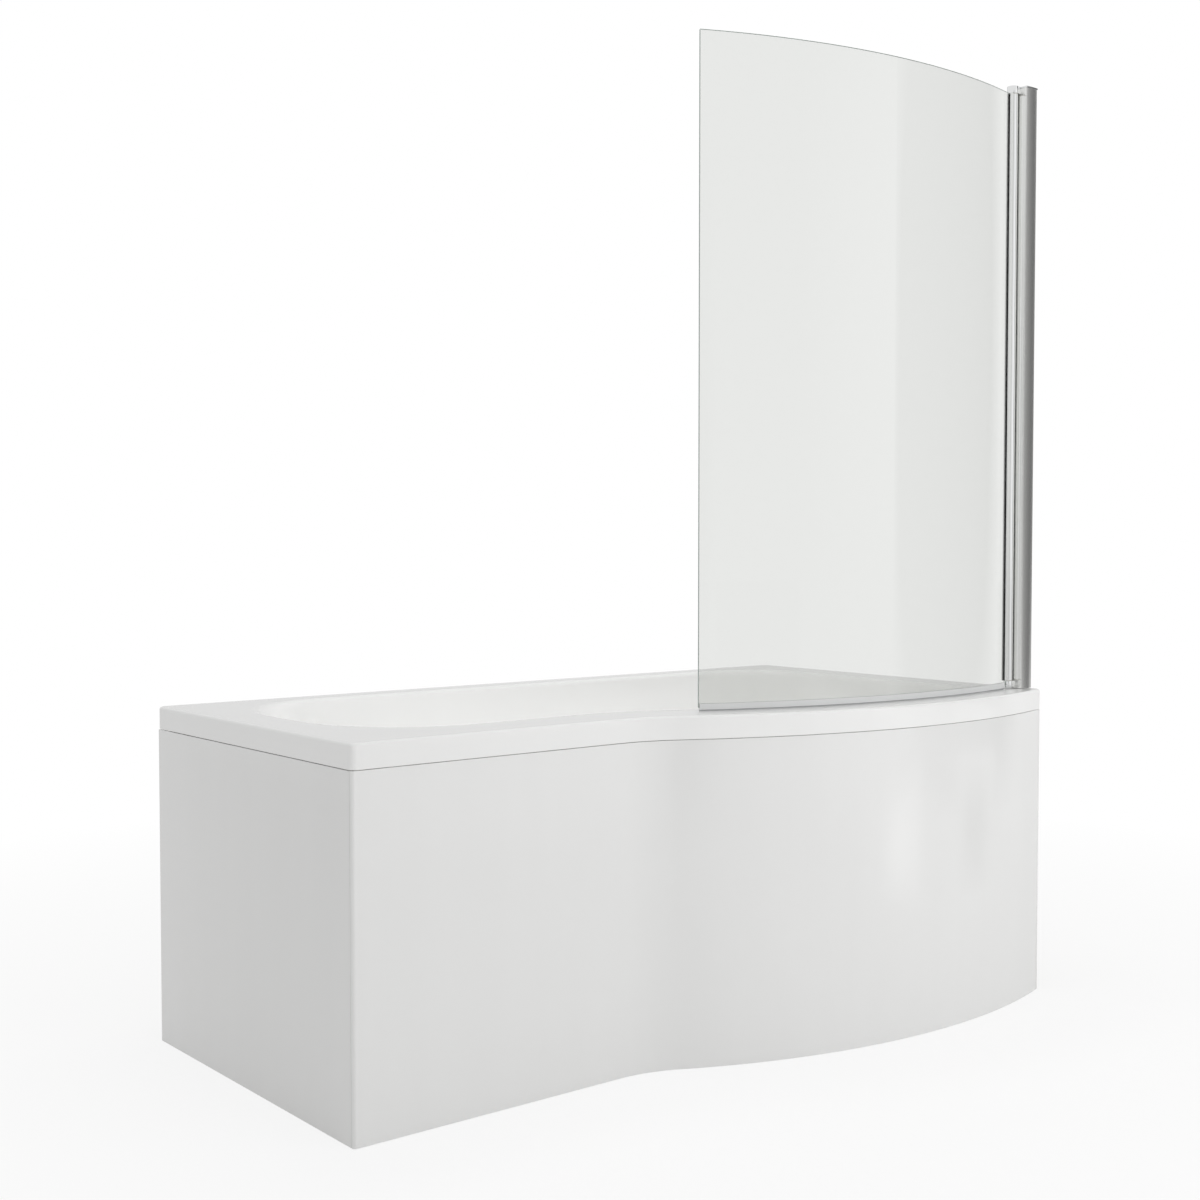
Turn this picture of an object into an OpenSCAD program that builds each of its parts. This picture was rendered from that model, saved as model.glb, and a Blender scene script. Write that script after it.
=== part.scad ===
/* [Bath] */
// Length of the bath along the wall, in mm
bath_length = 1500; // [1400:1:1700]
// Width of the bath at its narrow end
narrow_width = 675; // [640:1:750]
// How far the curved front stands out past the narrow end
bulge = 155; // [120:1:180]
// Height of the flat rim above the floor
rim_height = 600; // [560:1:640]
// Height of the rim's turned-down front face
fascia_height = 40; // [30:1:60]
// Wall thickness of the acrylic shell
shell_t = 5; // [4:0.5:8]
// Depth from the rim to the bowl's floor
bowl_depth = 405; // [380:1:430]

/* [Front curve] */
// Length of the straight front before the curve
curve_start = 510; // [450:1:560]
// Distance from the narrow end to the widest point
curve_peak = 1146; // [1080:1:1200]
// Radius of the hollow curve that leads outward
curve_in_radius = 229; // [180:1:280]

/* [Bowl] */
// Rim width at the narrow end
ledge_left = 78; // [60:1:110]
// Rim width along the front
ledge_front = 92; // [85:1:110]
// Rim width along the back wall
ledge_back = 45; // [42:1:60]
// Rim width at the wide end
ledge_right = 70; // [66:1:90]
// Corner radius of the opening at the narrow end
corner_left = 205; // [170:1:220]
// Corner radius of the opening at the wide end
corner_right = 150; // [120:1:180]
// Slope of the backrest, in degrees from upright
backrest_slope = 30; // [22:1:32]
// Slope of the other bowl walls, in degrees from upright
wall_slope = 6; // [4:1:9]

/* [Panels] */
// Thickness of the front and end panels
panel_t = 5; // [4:0.5:8]
// Gap between the panels and the rim's face
shadow_gap = 2.5; // [1.5:0.5:5]

/* [Screen] */
// Thickness of the curved glass
glass_t = 6; // [5:1:8]
// Distance from the wall profile's top down to the top of the glass
glass_below = 17; // [16:1:40]
// Distance from the narrow end to the free edge of the glass
glass_start = 692; // [640:1:760]
// How far the glass bows out from a straight line between its edges
glass_bow = 66; // [50:1:75]
// Height of the wall profile's top above the floor
profile_top = 1777; // [1730:1:1870]
// Diameter of the pivot bar
bar_d = 20; // [18:1:24]

/* [Waste] */
// Distance of the waste from the wide end
waste_from_end = 275; // [265:1:290]
// Distance of the waste and overflow from the back wall
waste_from_back = 375; // [350:1:390]
// Travel of the pressed plug
plug_travel = 7.5; // [6:0.5:8]

/* [Hidden] */
$fn = 64;
seat = 0.2;
fit = 0.3;
slip = 0.05;

// Values of the shell
edge_r = 7;
lip_r = 14;
under_lip = lip_r - shell_t;
outer_corner = 10;
floor_z = rim_height - bowl_depth;
fascia_bottom = rim_height - fascia_height;
fillet_left = 150;
fillet_right = 70;
fillet_side = 60;
corner_loss_left = 65;
corner_loss_right = 50;
turn = 2 * atan(bulge / (curve_peak - curve_start));
curve_out_radius = (curve_peak - curve_start) / sin(turn) - curve_in_radius;
peak_cy = curve_out_radius - bulge;
end_angle = asin((bath_length - curve_peak) / curve_out_radius);
end_y = peak_cy - curve_out_radius * cos(end_angle);

// Values of the waste, its plug and the overflow
waste_x = bath_length - waste_from_end;
waste_y = narrow_width - waste_from_back;
waste_r = 20.5;
waste_hole_r = 25;
flange_r = waste_hole_r - 1;
cup_lip_r = flange_r + 12;
seat_up = 1.8;
seal_z = floor_z + seat_up + fit + plug_travel;
cap_z = seal_z + 1.9;
stem_r = 4;
spring_low = floor_z - 9;
washer_t = 3;
overflow_z = rim_height - 85;
overflow_hole_r = 24;
elbow_lip_r = overflow_hole_r + 8;
overflow_r = 20;
spigot_z = floor_z - 45;
spigot_r = 13;
spigot_bore = 10;
hose_r = 15.6;
hose_bore = spigot_r + 0.06;
hose_bend = 60;
hose_start = 36;
hose_cover = 22;

// Values of the panels and the timber behind them
panel_gap = 1;
panel_in = panel_gap + panel_t;
panel_top = fascia_bottom - shadow_gap;
panel_bottom = 1;
panel_end_a = end_angle - 0.06;
return_end = 8.5;
joint_gap = 0.8;
tongue_in = 6.5;
tongue_t = 3;
tongue_back = tongue_in + tongue_t;
tongue_h = 28;
tongue_foot = 5;
head_h = 15;
clip_x = [90, curve_start / 2 + 25, curve_start - 40];
clip_a = [-turn * 0.66, -turn * 0.15, end_angle * 0.56];
clip_y = [140, narrow_width - 175];
batten_in = tongue_back + 2.5;
batten_w = 22;
batten_low = fascia_bottom - 2;
batten_high = rim_height - shell_t - fit;
batten_start = 60;
batten_end_a = end_angle - 5.5;
floor_batten_h = 28;

// Values of the legs
board_t = 18;
board_in = 118;
rail_w = 30;
rail_high = floor_z - shell_t - board_t - 2 * seat;
tube_t = 2;
post_w = 25;
post_in = 16;
post_low = 100;
frame_x = [390, waste_x - 95];
board_x = [frame_x[0] + 40, waste_x - 55];
board_y = [ledge_front + board_in, narrow_width - ledge_back - board_in];
board_middle = [(board_x[0] + board_x[1]) / 2, (board_y[0] + board_y[1]) / 2, 0];
bracket_y = [board_y[0] + 42, board_y[1] - 42];
wall_bracket_in = 330;
wall_bracket_end = 450;
wall_bracket_x = [wall_bracket_in, bath_length - wall_bracket_end];
foot_r = 25;
foot_h = 14;
foot_clear = 10;
stud_r = 5;
stud_low = 4;

// Values of the screen
profile_w = 30;
profile_x = bath_length - 35;
profile_y0 = end_y + 21;
profile_y1 = profile_y0 + profile_w;
profile_low = rim_height + 0.6;
cap_t = 4;
profile_high = profile_top - cap_t;
glass_top = profile_top - glass_below;
bar_r = bar_d / 2;
axis_x = profile_x - bar_r - 2;
axis_y = profile_y1 - 6;
block_h = 14;
block_low = rim_height + 1.5;
block_high = profile_top - 14.1;
block_hole = 5.5;
grub_up = 7;
screw_r = 2;
bar_low = block_low + block_h + 1.5;
bar_top = block_high - 1.4;
pin_r = 4;
bush_flange = 1;
fin_out = bar_r + 12;
slot_in = bar_r + 1.2;
adjust_x = bath_length - 13;
channel_w = 22;
channel_y0 = profile_y0 + 2.4;
channel_y1 = profile_y1 - 2.4;
wall_hole_r = 2.75;
wall_hole_down = 32;
wall_hole_low = rim_height + 90;
wall_hole_high = profile_top - 87;
wall_hole_z = (wall_hole_low + wall_hole_high) / 2;
wall_hole_apart = 160;
adjust_z = [wall_hole_low + 60, wall_hole_z, wall_hole_high - 60];
glass_bottom = rim_height + 6;
glass_end_in = 76;
glass_lead = 1;
seal_low = rim_height + 2.6;
seal_high = rim_height + 13;
seal_from_bar = bar_r + 14;

// Front edge of the bath at a distance x from the narrow end.
function front_y(x) =
    x <= curve_start ? 0
    : x <= curve_start + curve_in_radius * sin(turn)
    ? -curve_in_radius + sqrt(pow(curve_in_radius, 2) - pow(x - curve_start, 2))
    : peak_cy - sqrt(pow(curve_out_radius, 2) - pow(x - curve_peak, 2));

overflow_wall_x = bath_length - ledge_right - inset(overflow_z, wall_slope, lip_r, fillet_right, fillet_right);
overflow_drop_x = overflow_wall_x + 29.5;

// The glass is an arc whose chord runs from its free edge to the pivot axis
glass_end = [glass_start, front_y(glass_start) + glass_end_in];
glass_chord = norm([axis_x, axis_y] - glass_end);
glass_r = (pow(glass_chord, 2) / 4 + pow(glass_bow, 2)) / (2 * glass_bow);
glass_half = asin(glass_chord / 2 / glass_r);
chord_dir = atan2(glass_end[1] - axis_y, glass_end[0] - axis_x);
glass_centre = (glass_end + [axis_x, axis_y]) / 2
    - (glass_r - glass_bow) * [-sin(chord_dir), cos(chord_dir)];
glass_turn0 = atan2(glass_end[1] - glass_centre[1], glass_end[0] - glass_centre[0]);
glass_dir = chord_dir + glass_half - glass_lead;

function arc(cx, cy, r, a0, a1, n) =
    [for (i = [0:n]) [cx + r * cos(a0 + (a1 - a0) * i / n), cy + r * sin(a0 + (a1 - a0) * i / n)]];

// One closed ring of the bath's outline, set in by a different amount on each side.
// The corners at the narrow end stop just short of the place where the front begins to curve.
function outline(left, right, front, back, corner, rr) =
    let (rl = min(corner, curve_start - left - 1),
         ra = curve_out_radius - front,
         ex = bath_length - right - rr - curve_peak,
         ea = asin(ex / (ra - rr)),
         ecy = peak_cy - (ra - rr) * cos(ea),
         rc = curve_in_radius + front)
    concat(
        arc(left + rl, front + rl, rl, 180, 270, 10),
        [[(left + rl + curve_start) / 2, front]],
        arc(curve_start, -curve_in_radius, rc, 90, 90 - turn, 6),
        arc(curve_peak, peak_cy, ra, -90 - turn * 14 / 15, -90 + ea, 15),
        [for (i = [1:7]) let (a = -90 + ea + (90 - ea) * i / 7)
            [bath_length - right - rr + rr * cos(a), ecy + rr * sin(a)]],
        arc(bath_length - right - rr, narrow_width - back - rr, rr, 0, 90, 7),
        [[(left + rl + bath_length - right - rr) / 2, narrow_width - back]],
        arc(left + rl, narrow_width - back - rl, rl, 90, 180, 10));

// How far a sloping bowl wall has moved in at height z; rho and big are the radii of the lip and the floor curve.
function inset(z, a, rho, fr, big) =
    let (zc = rim_height - lip_r,
         zt = zc + rho * sin(a),
         zw = floor_z + fr - big * sin(a),
         top_d = lip_r * cos(a) + (zc + lip_r * sin(a) - (floor_z + fr - fr * sin(a))) * tan(a),
         dc = top_d + fr * cos(a))
    z >= zt ? sqrt(max(0, pow(rho, 2) - pow(z - zc, 2)))
    : z >= zw ? rho * cos(a) + (zt - z) * tan(a)
    : dc - sqrt(max(0, pow(big, 2) - pow(floor_z + fr - z, 2)));

function bowl_ring(z, rho, t) =
    let (u = (rim_height - z) / bowl_depth)
    [for (p = outline(
        ledge_left + inset(z, backrest_slope, rho, fillet_left, fillet_left + t),
        ledge_right + inset(z, wall_slope, rho, fillet_right, fillet_right + t),
        ledge_front + inset(z, wall_slope, rho, fillet_side, fillet_side + t),
        ledge_back + inset(z, wall_slope, rho, fillet_side, fillet_side + t),
        corner_left - u * corner_loss_left + t, corner_right - u * corner_loss_right + t)) [p[0], p[1], z]];

function rim_ring(d, z) =
    [for (p = outline(d, d, d, d, outer_corner, outer_corner)) [p[0], p[1], z]];

wall_z = [rim_height - 45, rim_height - 125, rim_height - 200];
above_floor = [130, 100, 75, 55, 38, 25, 14, 6, 1.5, 0];
inner_rings = concat(
    [for (i = [0:4]) let (a = 90 * i / 4) bowl_ring(rim_height - lip_r + lip_r * cos(a), lip_r, 0)],
    [for (z = wall_z) bowl_ring(z, lip_r, 0)],
    [for (h = above_floor) bowl_ring(floor_z + h, lip_r, 0)]);
outer_rings = concat(
    [rim_ring(1.5, fascia_bottom), rim_ring(0, fascia_bottom + 1.5)],
    [for (i = [0:3]) let (a = 90 * i / 3)
        rim_ring(edge_r - edge_r * cos(a), rim_height - edge_r + edge_r * sin(a))]);
under_rings = concat(
    [rim_ring(shell_t, fascia_bottom), rim_ring(shell_t, rim_height - shell_t)],
    [for (i = [0:3]) let (a = 90 * i / 3)
        bowl_ring(rim_height - lip_r + under_lip * cos(a), under_lip, shell_t)],
    [for (z = wall_z) bowl_ring(z, under_lip, shell_t)],
    [for (h = above_floor) bowl_ring(floor_z + h - shell_t, under_lip, shell_t)]);

// Puts everything drawn from the bath's front left corner into the shared frame.
module placed() {
    translate([-bath_length / 2, -(narrow_width - bulge) / 2, 0]) children();
}

// A tool whose axis points into the bowl, on the sloping wall at the wide end.
module at_overflow() {
    translate([overflow_wall_x, waste_y, overflow_z]) rotate([0, -(90 - wall_slope), 0]) children();
}

// A profile drawn as [distance in from the front edge, height], run round the full curve.
module run_full_curve(a0, a1) {
    translate([curve_peak, peak_cy, 0]) rotate([0, 0, a0 - 90])
        rotate_extrude(angle = a1 - a0, $fn = 360) translate([curve_out_radius, 0]) mirror([1, 0]) children();
}

// A piece standing on the curved front, at an angle round the curve from its widest point.
module on_curve(a) {
    translate([curve_peak, peak_cy, 0]) rotate([0, 0, a]) translate([0, -curve_out_radius, 0]) children();
}

module bath_tub() {
    stack = concat(outer_rings, inner_rings);
    n = len(outer_rings[0]);
    a = len(stack);
    b = len(under_rings);
    base = a * n;
    cap_x = waste_x - 250;
    pts = concat(
        [for (r = stack) each r], [for (r = under_rings) each r],
        [[cap_x, waste_y, floor_z], [cap_x, waste_y, floor_z - shell_t]]);
    sides = [for (k = [0:a - 2], i = [0:n - 1]) let (j = (i + 1) % n)
        each [[k * n + i, (k + 1) * n + i, (k + 1) * n + j], [k * n + i, (k + 1) * n + j, k * n + j]]];
    below = [for (k = [0:b - 2], i = [0:n - 1]) let (j = (i + 1) % n, p = base + k * n, q = p + n)
        each [[p + i, q + j, q + i], [p + i, p + j, q + j]]];
    foot = [for (i = [0:n - 1]) let (j = (i + 1) % n)
        each [[i, j, base + j], [i, base + j, base + i]]];
    top_cap = [for (i = [0:n - 1]) [(a - 1) * n + i, (a + b) * n, (a - 1) * n + (i + 1) % n]];
    low_cap = [for (i = [0:n - 1]) let (p = base + (b - 1) * n) [p + i, p + (i + 1) % n, (a + b) * n + 1]];
    color("white") placed() difference() {
        polyhedron(points = pts, faces = concat(sides, below, foot, top_cap, low_cap), convexity = 6);
        translate([waste_x, waste_y, floor_z]) cylinder(r = waste_hole_r, h = 40, center = true);
        at_overflow() cylinder(r = overflow_hole_r, h = 40, center = true);
    }
}

module baseboard() {
    color("tan") placed() translate([board_x[0], board_y[0], rail_high + seat])
        cube([board_x[1] - board_x[0], board_y[1] - board_y[0], board_t]);
}

module batten(x, y, length, width) {
    color("burlywood") placed() translate([x, y, batten_low]) cube([length, width, batten_high - batten_low]);
}

module batten_front() {
    batten(batten_start, batten_in, curve_start - 1 - batten_start, batten_w);
}

module batten_curve() {
    color("burlywood") placed() front_strip(
        batten_in, batten_in + batten_w, curve_start - 1 + fit, batten_end_a, batten_low, batten_high);
}

module batten_back() {
    batten(batten_start, narrow_width - batten_in - batten_w, bath_length - batten_start - 100, batten_w);
}

module batten_left() {
    batten(batten_in, 70, batten_w, narrow_width - 140);
}

module batten_right() {
    batten(bath_length - batten_in - batten_w, 20, batten_w, narrow_width - 90);
}

// Where each leg post stands: its centre in plan.
function post_at(i, front) =
    [frame_x[i], front ? front_y(frame_x[i]) + post_in + post_w / 2 : narrow_width - post_in - post_w / 2];

module at_posts() {
    for (i = [0, 1], f = [true, false]) translate(post_at(i, f)) children();
}

module square_tube(w) {
    difference() {
        square(w, center = true);
        square(w - 2 * tube_t, center = true);
    }
}

module leg_posts() {
    color("silver") placed() at_posts() translate([0, 0, post_low])
        linear_extrude(batten_low - seat - post_low) square_tube(post_w);
}

module leg_rail(i) {
    y0 = post_at(i, true)[1] + post_w / 2;
    y1 = post_at(i, false)[1] - post_w / 2;
    color("silver") placed() translate([frame_x[i], y0, rail_high - rail_w / 2]) rotate([-90, 0, 0])
        linear_extrude(y1 - y0) square_tube(rail_w);
}

module leg_rail_left() {
    leg_rail(0);
}

module leg_rail_right() {
    leg_rail(1);
}

module post_plugs() {
    plug_w = post_w - 2 * tube_t - 0.1;
    plug_h = 20;
    color("dimgray") placed() at_posts() translate([0, 0, post_low]) difference() {
        translate([0, 0, plug_h / 2]) cube([plug_w, plug_w, plug_h], center = true);
        translate([0, 0, -1]) cylinder(r = stud_r + slip, h = plug_h + 2);
    }
}

module foot_studs() {
    color("silver") placed() {
        at_posts() translate([0, 0, stud_low]) cylinder(r = stud_r, h = post_low + 70);
        translate(board_middle) translate([0, 0, stud_low]) cylinder(r = stud_r, h = rail_high - stud_low - 1);
    }
}

module foot_nuts() {
    color("silver") placed() {
        at_posts() translate([0, 0, post_low]) foot_nut();
        translate(board_middle) translate([0, 0, rail_high - 23.8]) foot_nut();
    }
}

// A nut whose top lies just under what it locks.
module foot_nut() {
    nut_h = 8;
    translate([0, 0, -nut_h - fit]) difference() {
        cylinder(r = 9.5, h = nut_h, $fn = 6);
        translate([0, 0, -1]) cylinder(r = stud_r + slip, h = nut_h + 2);
    }
}

module foot_pads() {
    color("dimgray") placed() {
        at_posts() foot_pad();
        translate(board_middle) foot_pad();
    }
}

module foot_pad() {
    r = min(foot_r, post_in + post_w / 2 - panel_in - 1.3);
    bore = stud_r + slip;
    rotate_extrude() polygon([
        [0, 0], [r - 1, 0], [r, 1], [r, 6], [9, foot_h], [bore, foot_h], [bore, stud_low], [0, stud_low]]);
}

module centre_foot_plate() {
    plate_w = 70;
    plate_t = 3;
    boss_h = 21;
    color("silver") placed() translate(board_middle) translate([0, 0, rail_high + seat - plate_t]) difference() {
        union() {
            translate([-plate_w / 2, -plate_w / 2, 0]) cube([plate_w, plate_w, plate_t]);
            translate([0, 0, -boss_h]) cylinder(r = 9, h = boss_h + 0.5);
        }
        translate([0, 0, -boss_h - 1]) cylinder(r = stud_r + slip, h = boss_h + 6);
    }
}

module frame_bolts() {
    head_h = 3.9;
    color("silver") placed() for (i = [0, 1], f = [true, false])
        translate([frame_x[i], post_at(i, f)[1], rail_high - rail_w / 2]) mirror([0, f ? 0 : 1, 0])
            rotate([90, 0, 0]) translate([0, 0, post_w / 2 + 0.1]) cylinder(r = 6, h = head_h, $fn = 6);
}

// Two angle brackets on each rail, turned so that they point along the board.
module at_brackets() {
    for (i = [0, 1], y = bracket_y) translate([frame_x[i], y, rail_high]) mirror([i, 0, 0]) children();
}

module rail_brackets() {
    width = 40;
    sheet = 2;
    color("silver") placed() at_brackets() {
        translate([rail_w / 2, -width / 2, -sheet]) cube([50, width, sheet]);
        translate([rail_w / 2, -width / 2, -24]) cube([sheet, width, 22.5]);
    }
}

module rail_screws() {
    color("silver") placed() at_brackets() translate([rail_w / 2 + 30, 0, -4]) cylinder(r = 5, h = 1.8);
}

module wall_brackets() {
    sheet = 2;
    width = 40;
    drop = 52;
    reach = batten_in + batten_w;
    color("silver") placed() for (x = wall_bracket_x) translate([x, narrow_width, batten_low - seat]) difference() {
        union() {
            translate([-width / 2, -sheet, seat - drop]) cube([width, sheet, drop - seat]);
            translate([-width / 2, -reach, -sheet]) cube([width, reach, sheet]);
        }
        for (s = [-12, 12]) translate([s, 1, seat - wall_hole_down]) rotate([90, 0, 0]) cylinder(r = wall_hole_r, h = 6);
        at_bracket_screws() translate([0, 0, -4]) cylinder(r = screw_r + seat, h = 6);
    }
}

module at_bracket_screws() {
    for (s = [-10, 10]) translate([s, -batten_in - batten_w / 2, 0]) children();
}

module bracket_screws() {
    color("silver") placed() for (x = wall_bracket_x) translate([x, narrow_width, batten_low - seat - 4.2])
        at_bracket_screws() {
            cylinder(r = 4, h = 2);
            cylinder(r = screw_r + 0.1, h = 4.3);
        }
}

// Points along the front, set in by d, from x0 to an angle round the full curve.
function front_edge(d, x0, a1) = concat(
    [[x0, d]],
    arc(curve_start, -curve_in_radius, curve_in_radius + d, 90, 90 - turn, 10),
    arc(curve_peak, peak_cy, curve_out_radius - d, -90 - turn * 29 / 30, -90 + a1, 30));

function reversed(v) = [for (i = [len(v) - 1:-1:0]) v[i]];

module front_strip(d0, d1, x0, a1, z0, z1) {
    translate([0, 0, z0]) linear_extrude(z1 - z0)
        polygon(concat(front_edge(d0, x0, a1), reversed(front_edge(d1, x0, a1))));
}

module front_panel() {
    outer = concat(
        [[panel_gap, return_end]],
        arc(panel_in, panel_in, panel_t, 180, 270, 6),
        front_edge(panel_gap, panel_in + 1, panel_end_a));
    inner = front_edge(panel_in, panel_in + 1, panel_end_a);
    start = 30;
    back_end_a = panel_end_a - 0.3;
    color("whitesmoke") placed() {
        translate([0, 0, panel_bottom]) linear_extrude(panel_top - panel_bottom)
            polygon(concat(outer, reversed(inner), [[panel_in, panel_in], [panel_in, return_end]]));
        front_strip(panel_gap + 1, tongue_back, start, back_end_a, panel_top - head_h, panel_top);
        front_strip(tongue_in, tongue_back, start, back_end_a, panel_top - tongue_foot, panel_top + tongue_h);
    }
}

module end_panel() {
    y0 = return_end + joint_gap;
    y1 = narrow_width - panel_gap;
    margin = 40;
    color("gainsboro") placed() {
        translate([panel_gap, y0, panel_bottom]) cube([panel_t, y1 - y0, panel_top - panel_bottom]);
        translate([panel_gap + 1, margin, panel_top - head_h])
            cube([tongue_back - panel_gap - 1, narrow_width - 2 * margin, head_h]);
        translate([tongue_in, margin, panel_top - tongue_foot])
            cube([tongue_t, narrow_width - 2 * margin, tongue_h + tongue_foot]);
    }
}

module clip() {
    width = 24;
    height = 34;
    foot = 4;
    sheet = 1.8;
    translate([-width / 2, tongue_back + fit, panel_top - foot]) cube([width, sheet, height]);
}

module panel_clips() {
    color("silver") placed() {
        for (x = clip_x) translate([x, 0, 0]) clip();
        for (a = clip_a) on_curve(a) clip();
        for (y = clip_y) rotate([0, 0, 90]) mirror([0, 1, 0]) translate([y, 0, 0]) clip();
    }
}

module floor_batten_profile() {
    translate([panel_in + fit, 0]) square([batten_w, floor_batten_h]);
}

module floor_batten_piece(x0, x1) {
    translate([x0, panel_in + fit, 0]) cube([x1 - x0, batten_w, floor_batten_h]);
}

// The floor battens stop short of the feet.
module floor_batten_front() {
    half_gap = foot_r + foot_clear;
    color("burlywood") placed() {
        floor_batten_piece(batten_start, frame_x[0] - half_gap);
        floor_batten_piece(frame_x[0] + half_gap, curve_start - 1);
    }
}

module floor_batten_curve() {
    foot_a = asin((frame_x[1] - curve_peak) / curve_out_radius);
    gap_a = (foot_r + foot_clear) / curve_out_radius * 180 / PI;
    color("burlywood") placed() {
        run_full_curve(-turn + 2, foot_a - gap_a) floor_batten_profile();
        run_full_curve(foot_a + gap_a, end_angle - 2) floor_batten_profile();
    }
}

module floor_batten_end() {
    color("burlywood") placed() translate([panel_in + fit, batten_start, 0])
        cube([batten_w, narrow_width - 2 * batten_start, floor_batten_h]);
}

module at_waste() {
    translate([waste_x, waste_y, floor_z]) children();
}

module waste_flange() {
    rim_r = 35;
    color("silver") placed() at_waste() rotate_extrude() polygon([
        [waste_r, -22], [flange_r, -22], [flange_r, fit], [rim_r, fit], [rim_r, fit + 1], [rim_r - 1.5, fit + 2.3],
        [waste_hole_r, seat_up], [waste_r + 2, 0], [waste_r, -2]]);
}

module washer(r, bore) {
    translate([0, 0, -shell_t - seat - washer_t]) tube(r, bore, washer_t);
}

module waste_washers() {
    color("dimgray") placed() {
        at_waste() washer(cup_lip_r, flange_r + fit);
        at_overflow() washer(elbow_lip_r, overflow_hole_r - 0.4);
    }
}

module waste_body() {
    tail_r = 23.9;
    tail_low = -103;
    cup_low = -67;
    cup_r = 30;
    lip_low = -shell_t - washer_t - 2 * seat;
    spigot_up = spigot_z - floor_z;
    color("dimgray") placed() at_waste() difference() {
        union() {
            rotate_extrude() polygon([
                [waste_r, tail_low], [tail_r, tail_low], [tail_r, cup_low - 4], [cup_r, cup_low], [cup_r, -25],
                [cup_lip_r, -19], [cup_lip_r, lip_low], [flange_r + 0.1, lip_low], [flange_r + 0.1, -24], [cup_r - 4, -27],
                [cup_r - 4, cup_low + 4], [waste_r, cup_low]]);
            translate([cup_r - 2.5, 0, spigot_up]) rotate([0, 90, 0])
                cylinder(r = spigot_r, h = hose_start + hose_cover - cup_r + 2.5);
        }
        translate([20, 0, spigot_up]) rotate([0, 90, 0]) cylinder(r = spigot_bore, h = 40);
    }
}

module waste_grid() {
    grid_r = waste_r - 0.1;
    boss_low = -46;
    boss_h = 36;
    color("silver") placed() at_waste() difference() {
        union() {
            translate([0, 0, -16]) tube(grid_r, grid_r - 2, 6);
            for (a = [0, 90]) rotate([0, 0, a]) translate([0, 0, -13])
                cube([2 * grid_r - 2.8, 3, 5.8], center = true);
            translate([0, 0, boss_low]) cylinder(r = 8, h = boss_h);
        }
        translate([0, 0, boss_low + 2]) cylinder(r = stem_r + 0.06, h = boss_h);
    }
}

module plug_stem() {
    low = floor_z - 30;
    color("silver") placed() translate([waste_x, waste_y, low]) cylinder(r = stem_r, h = cap_z - 0.1 - low);
}

module plug_cap() {
    color("silver") placed() translate([waste_x, waste_y, cap_z]) rotate_extrude() polygon([
        [0, 0], [28, 0], [31, 2], [31, 3.5], [29, 5.5], [20, 6.8], [0, 7.5]]);
}

module plug_seal() {
    color("dimgray") placed() translate([waste_x, waste_y, seal_z]) rotate_extrude()
        polygon([[21, 0.6], [waste_hole_r, 0], [27.5, 0.9], [27.5, 1.8], [21, 1.8]]);
}

module plug_spring() {
    turns = 4;
    steps = 24 * turns;
    coil_r = 6;
    wire_r = 0.9;
    rise = cap_z - 1 - spring_low;
    pts = [for (i = [0:steps], k = [0:5])
        let (a = 15 * i, b = 60 * k, r = coil_r + wire_r * cos(b))
        [r * cos(a), r * sin(a), spring_low + rise * i / steps + wire_r * sin(b)]];
    skin = [for (i = [0:steps - 1], k = [0:5]) let (m = (k + 1) % 6, p = 6 * i)
        each [[p + k, p + m, p + 6 + m], [p + k, p + 6 + m, p + 6 + k]]];
    ends = [[0, 5, 4, 3, 2, 1], [for (k = [0:5]) 6 * steps + k]];
    color("silver") placed() translate([waste_x, waste_y, 0]) polyhedron(pts, concat(skin, ends));
}

module overflow_faceplate() {
    sleeve_r = overflow_hole_r - 0.6;
    face_r = 34;
    color("silver") placed() at_overflow() rotate_extrude() polygon([
        [sleeve_r, -1], [sleeve_r, 0.4], [face_r, 0.4], [face_r, 6], [face_r - 2, 8.5], [0, 10], [0, 8],
        [face_r - 3, 6.6], [face_r - 2, 5.5], [face_r - 2, 2], [overflow_r, 2], [overflow_r, -1]]);
}

module overflow_elbow() {
    back = -38;
    sleeve_r = overflow_hole_r - 0.6;
    lip_z = -shell_t - washer_t - 2 * seat;
    color("dimgray") placed() difference() {
        union() {
            at_overflow() rotate_extrude() polygon([
                [0, back], [overflow_hole_r, back], [overflow_hole_r, -13], [elbow_lip_r, -12], [elbow_lip_r, lip_z], [sleeve_r, lip_z],
                [sleeve_r, -1 - fit], [overflow_r, -1 - fit], [overflow_r, back + 3], [0, back + 3]]);
            translate([overflow_drop_x, waste_y, overflow_z - 62]) cylinder(r = spigot_r, h = 52);
        }
        translate([overflow_drop_x, waste_y, overflow_z - 63]) cylinder(r = spigot_bore, h = 60);
        at_overflow() translate([0, 0, back + 3]) cylinder(r = overflow_r, h = 40);
    }
}

module overflow_hose() {
    bend_z = spigot_z + hose_bend;
    color("lightgray") placed() {
        translate([overflow_drop_x, waste_y, bend_z])
            tube(hose_r, hose_bore, overflow_z - 62 + hose_cover - bend_z);
        translate([overflow_drop_x - hose_bend, waste_y, bend_z]) rotate([90, 0, 0]) rotate([0, 0, -90])
            rotate_extrude(angle = 90) translate([hose_bend, 0]) difference() {
                circle(r = hose_r);
                circle(r = hose_bore);
            }
        translate([waste_x + hose_start, waste_y, spigot_z]) rotate([0, 90, 0])
            tube(hose_r, hose_bore, overflow_drop_x - hose_bend - waste_x - hose_start);
    }
}

module tube(r, bore, h) {
    difference() {
        cylinder(r = r, h = h);
        translate([0, 0, -1]) cylinder(r = bore, h = h + 2);
    }
}

module hose_clip() {
    tube(hose_r + 1.2, hose_r + 0.1, 8);
}

module hose_clips() {
    color("silver") placed() {
        translate([overflow_drop_x, waste_y, overflow_z - 54]) hose_clip();
        translate([waste_x + hose_start + 6, waste_y, spigot_z]) rotate([0, 90, 0]) hose_clip();
    }
}

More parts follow.
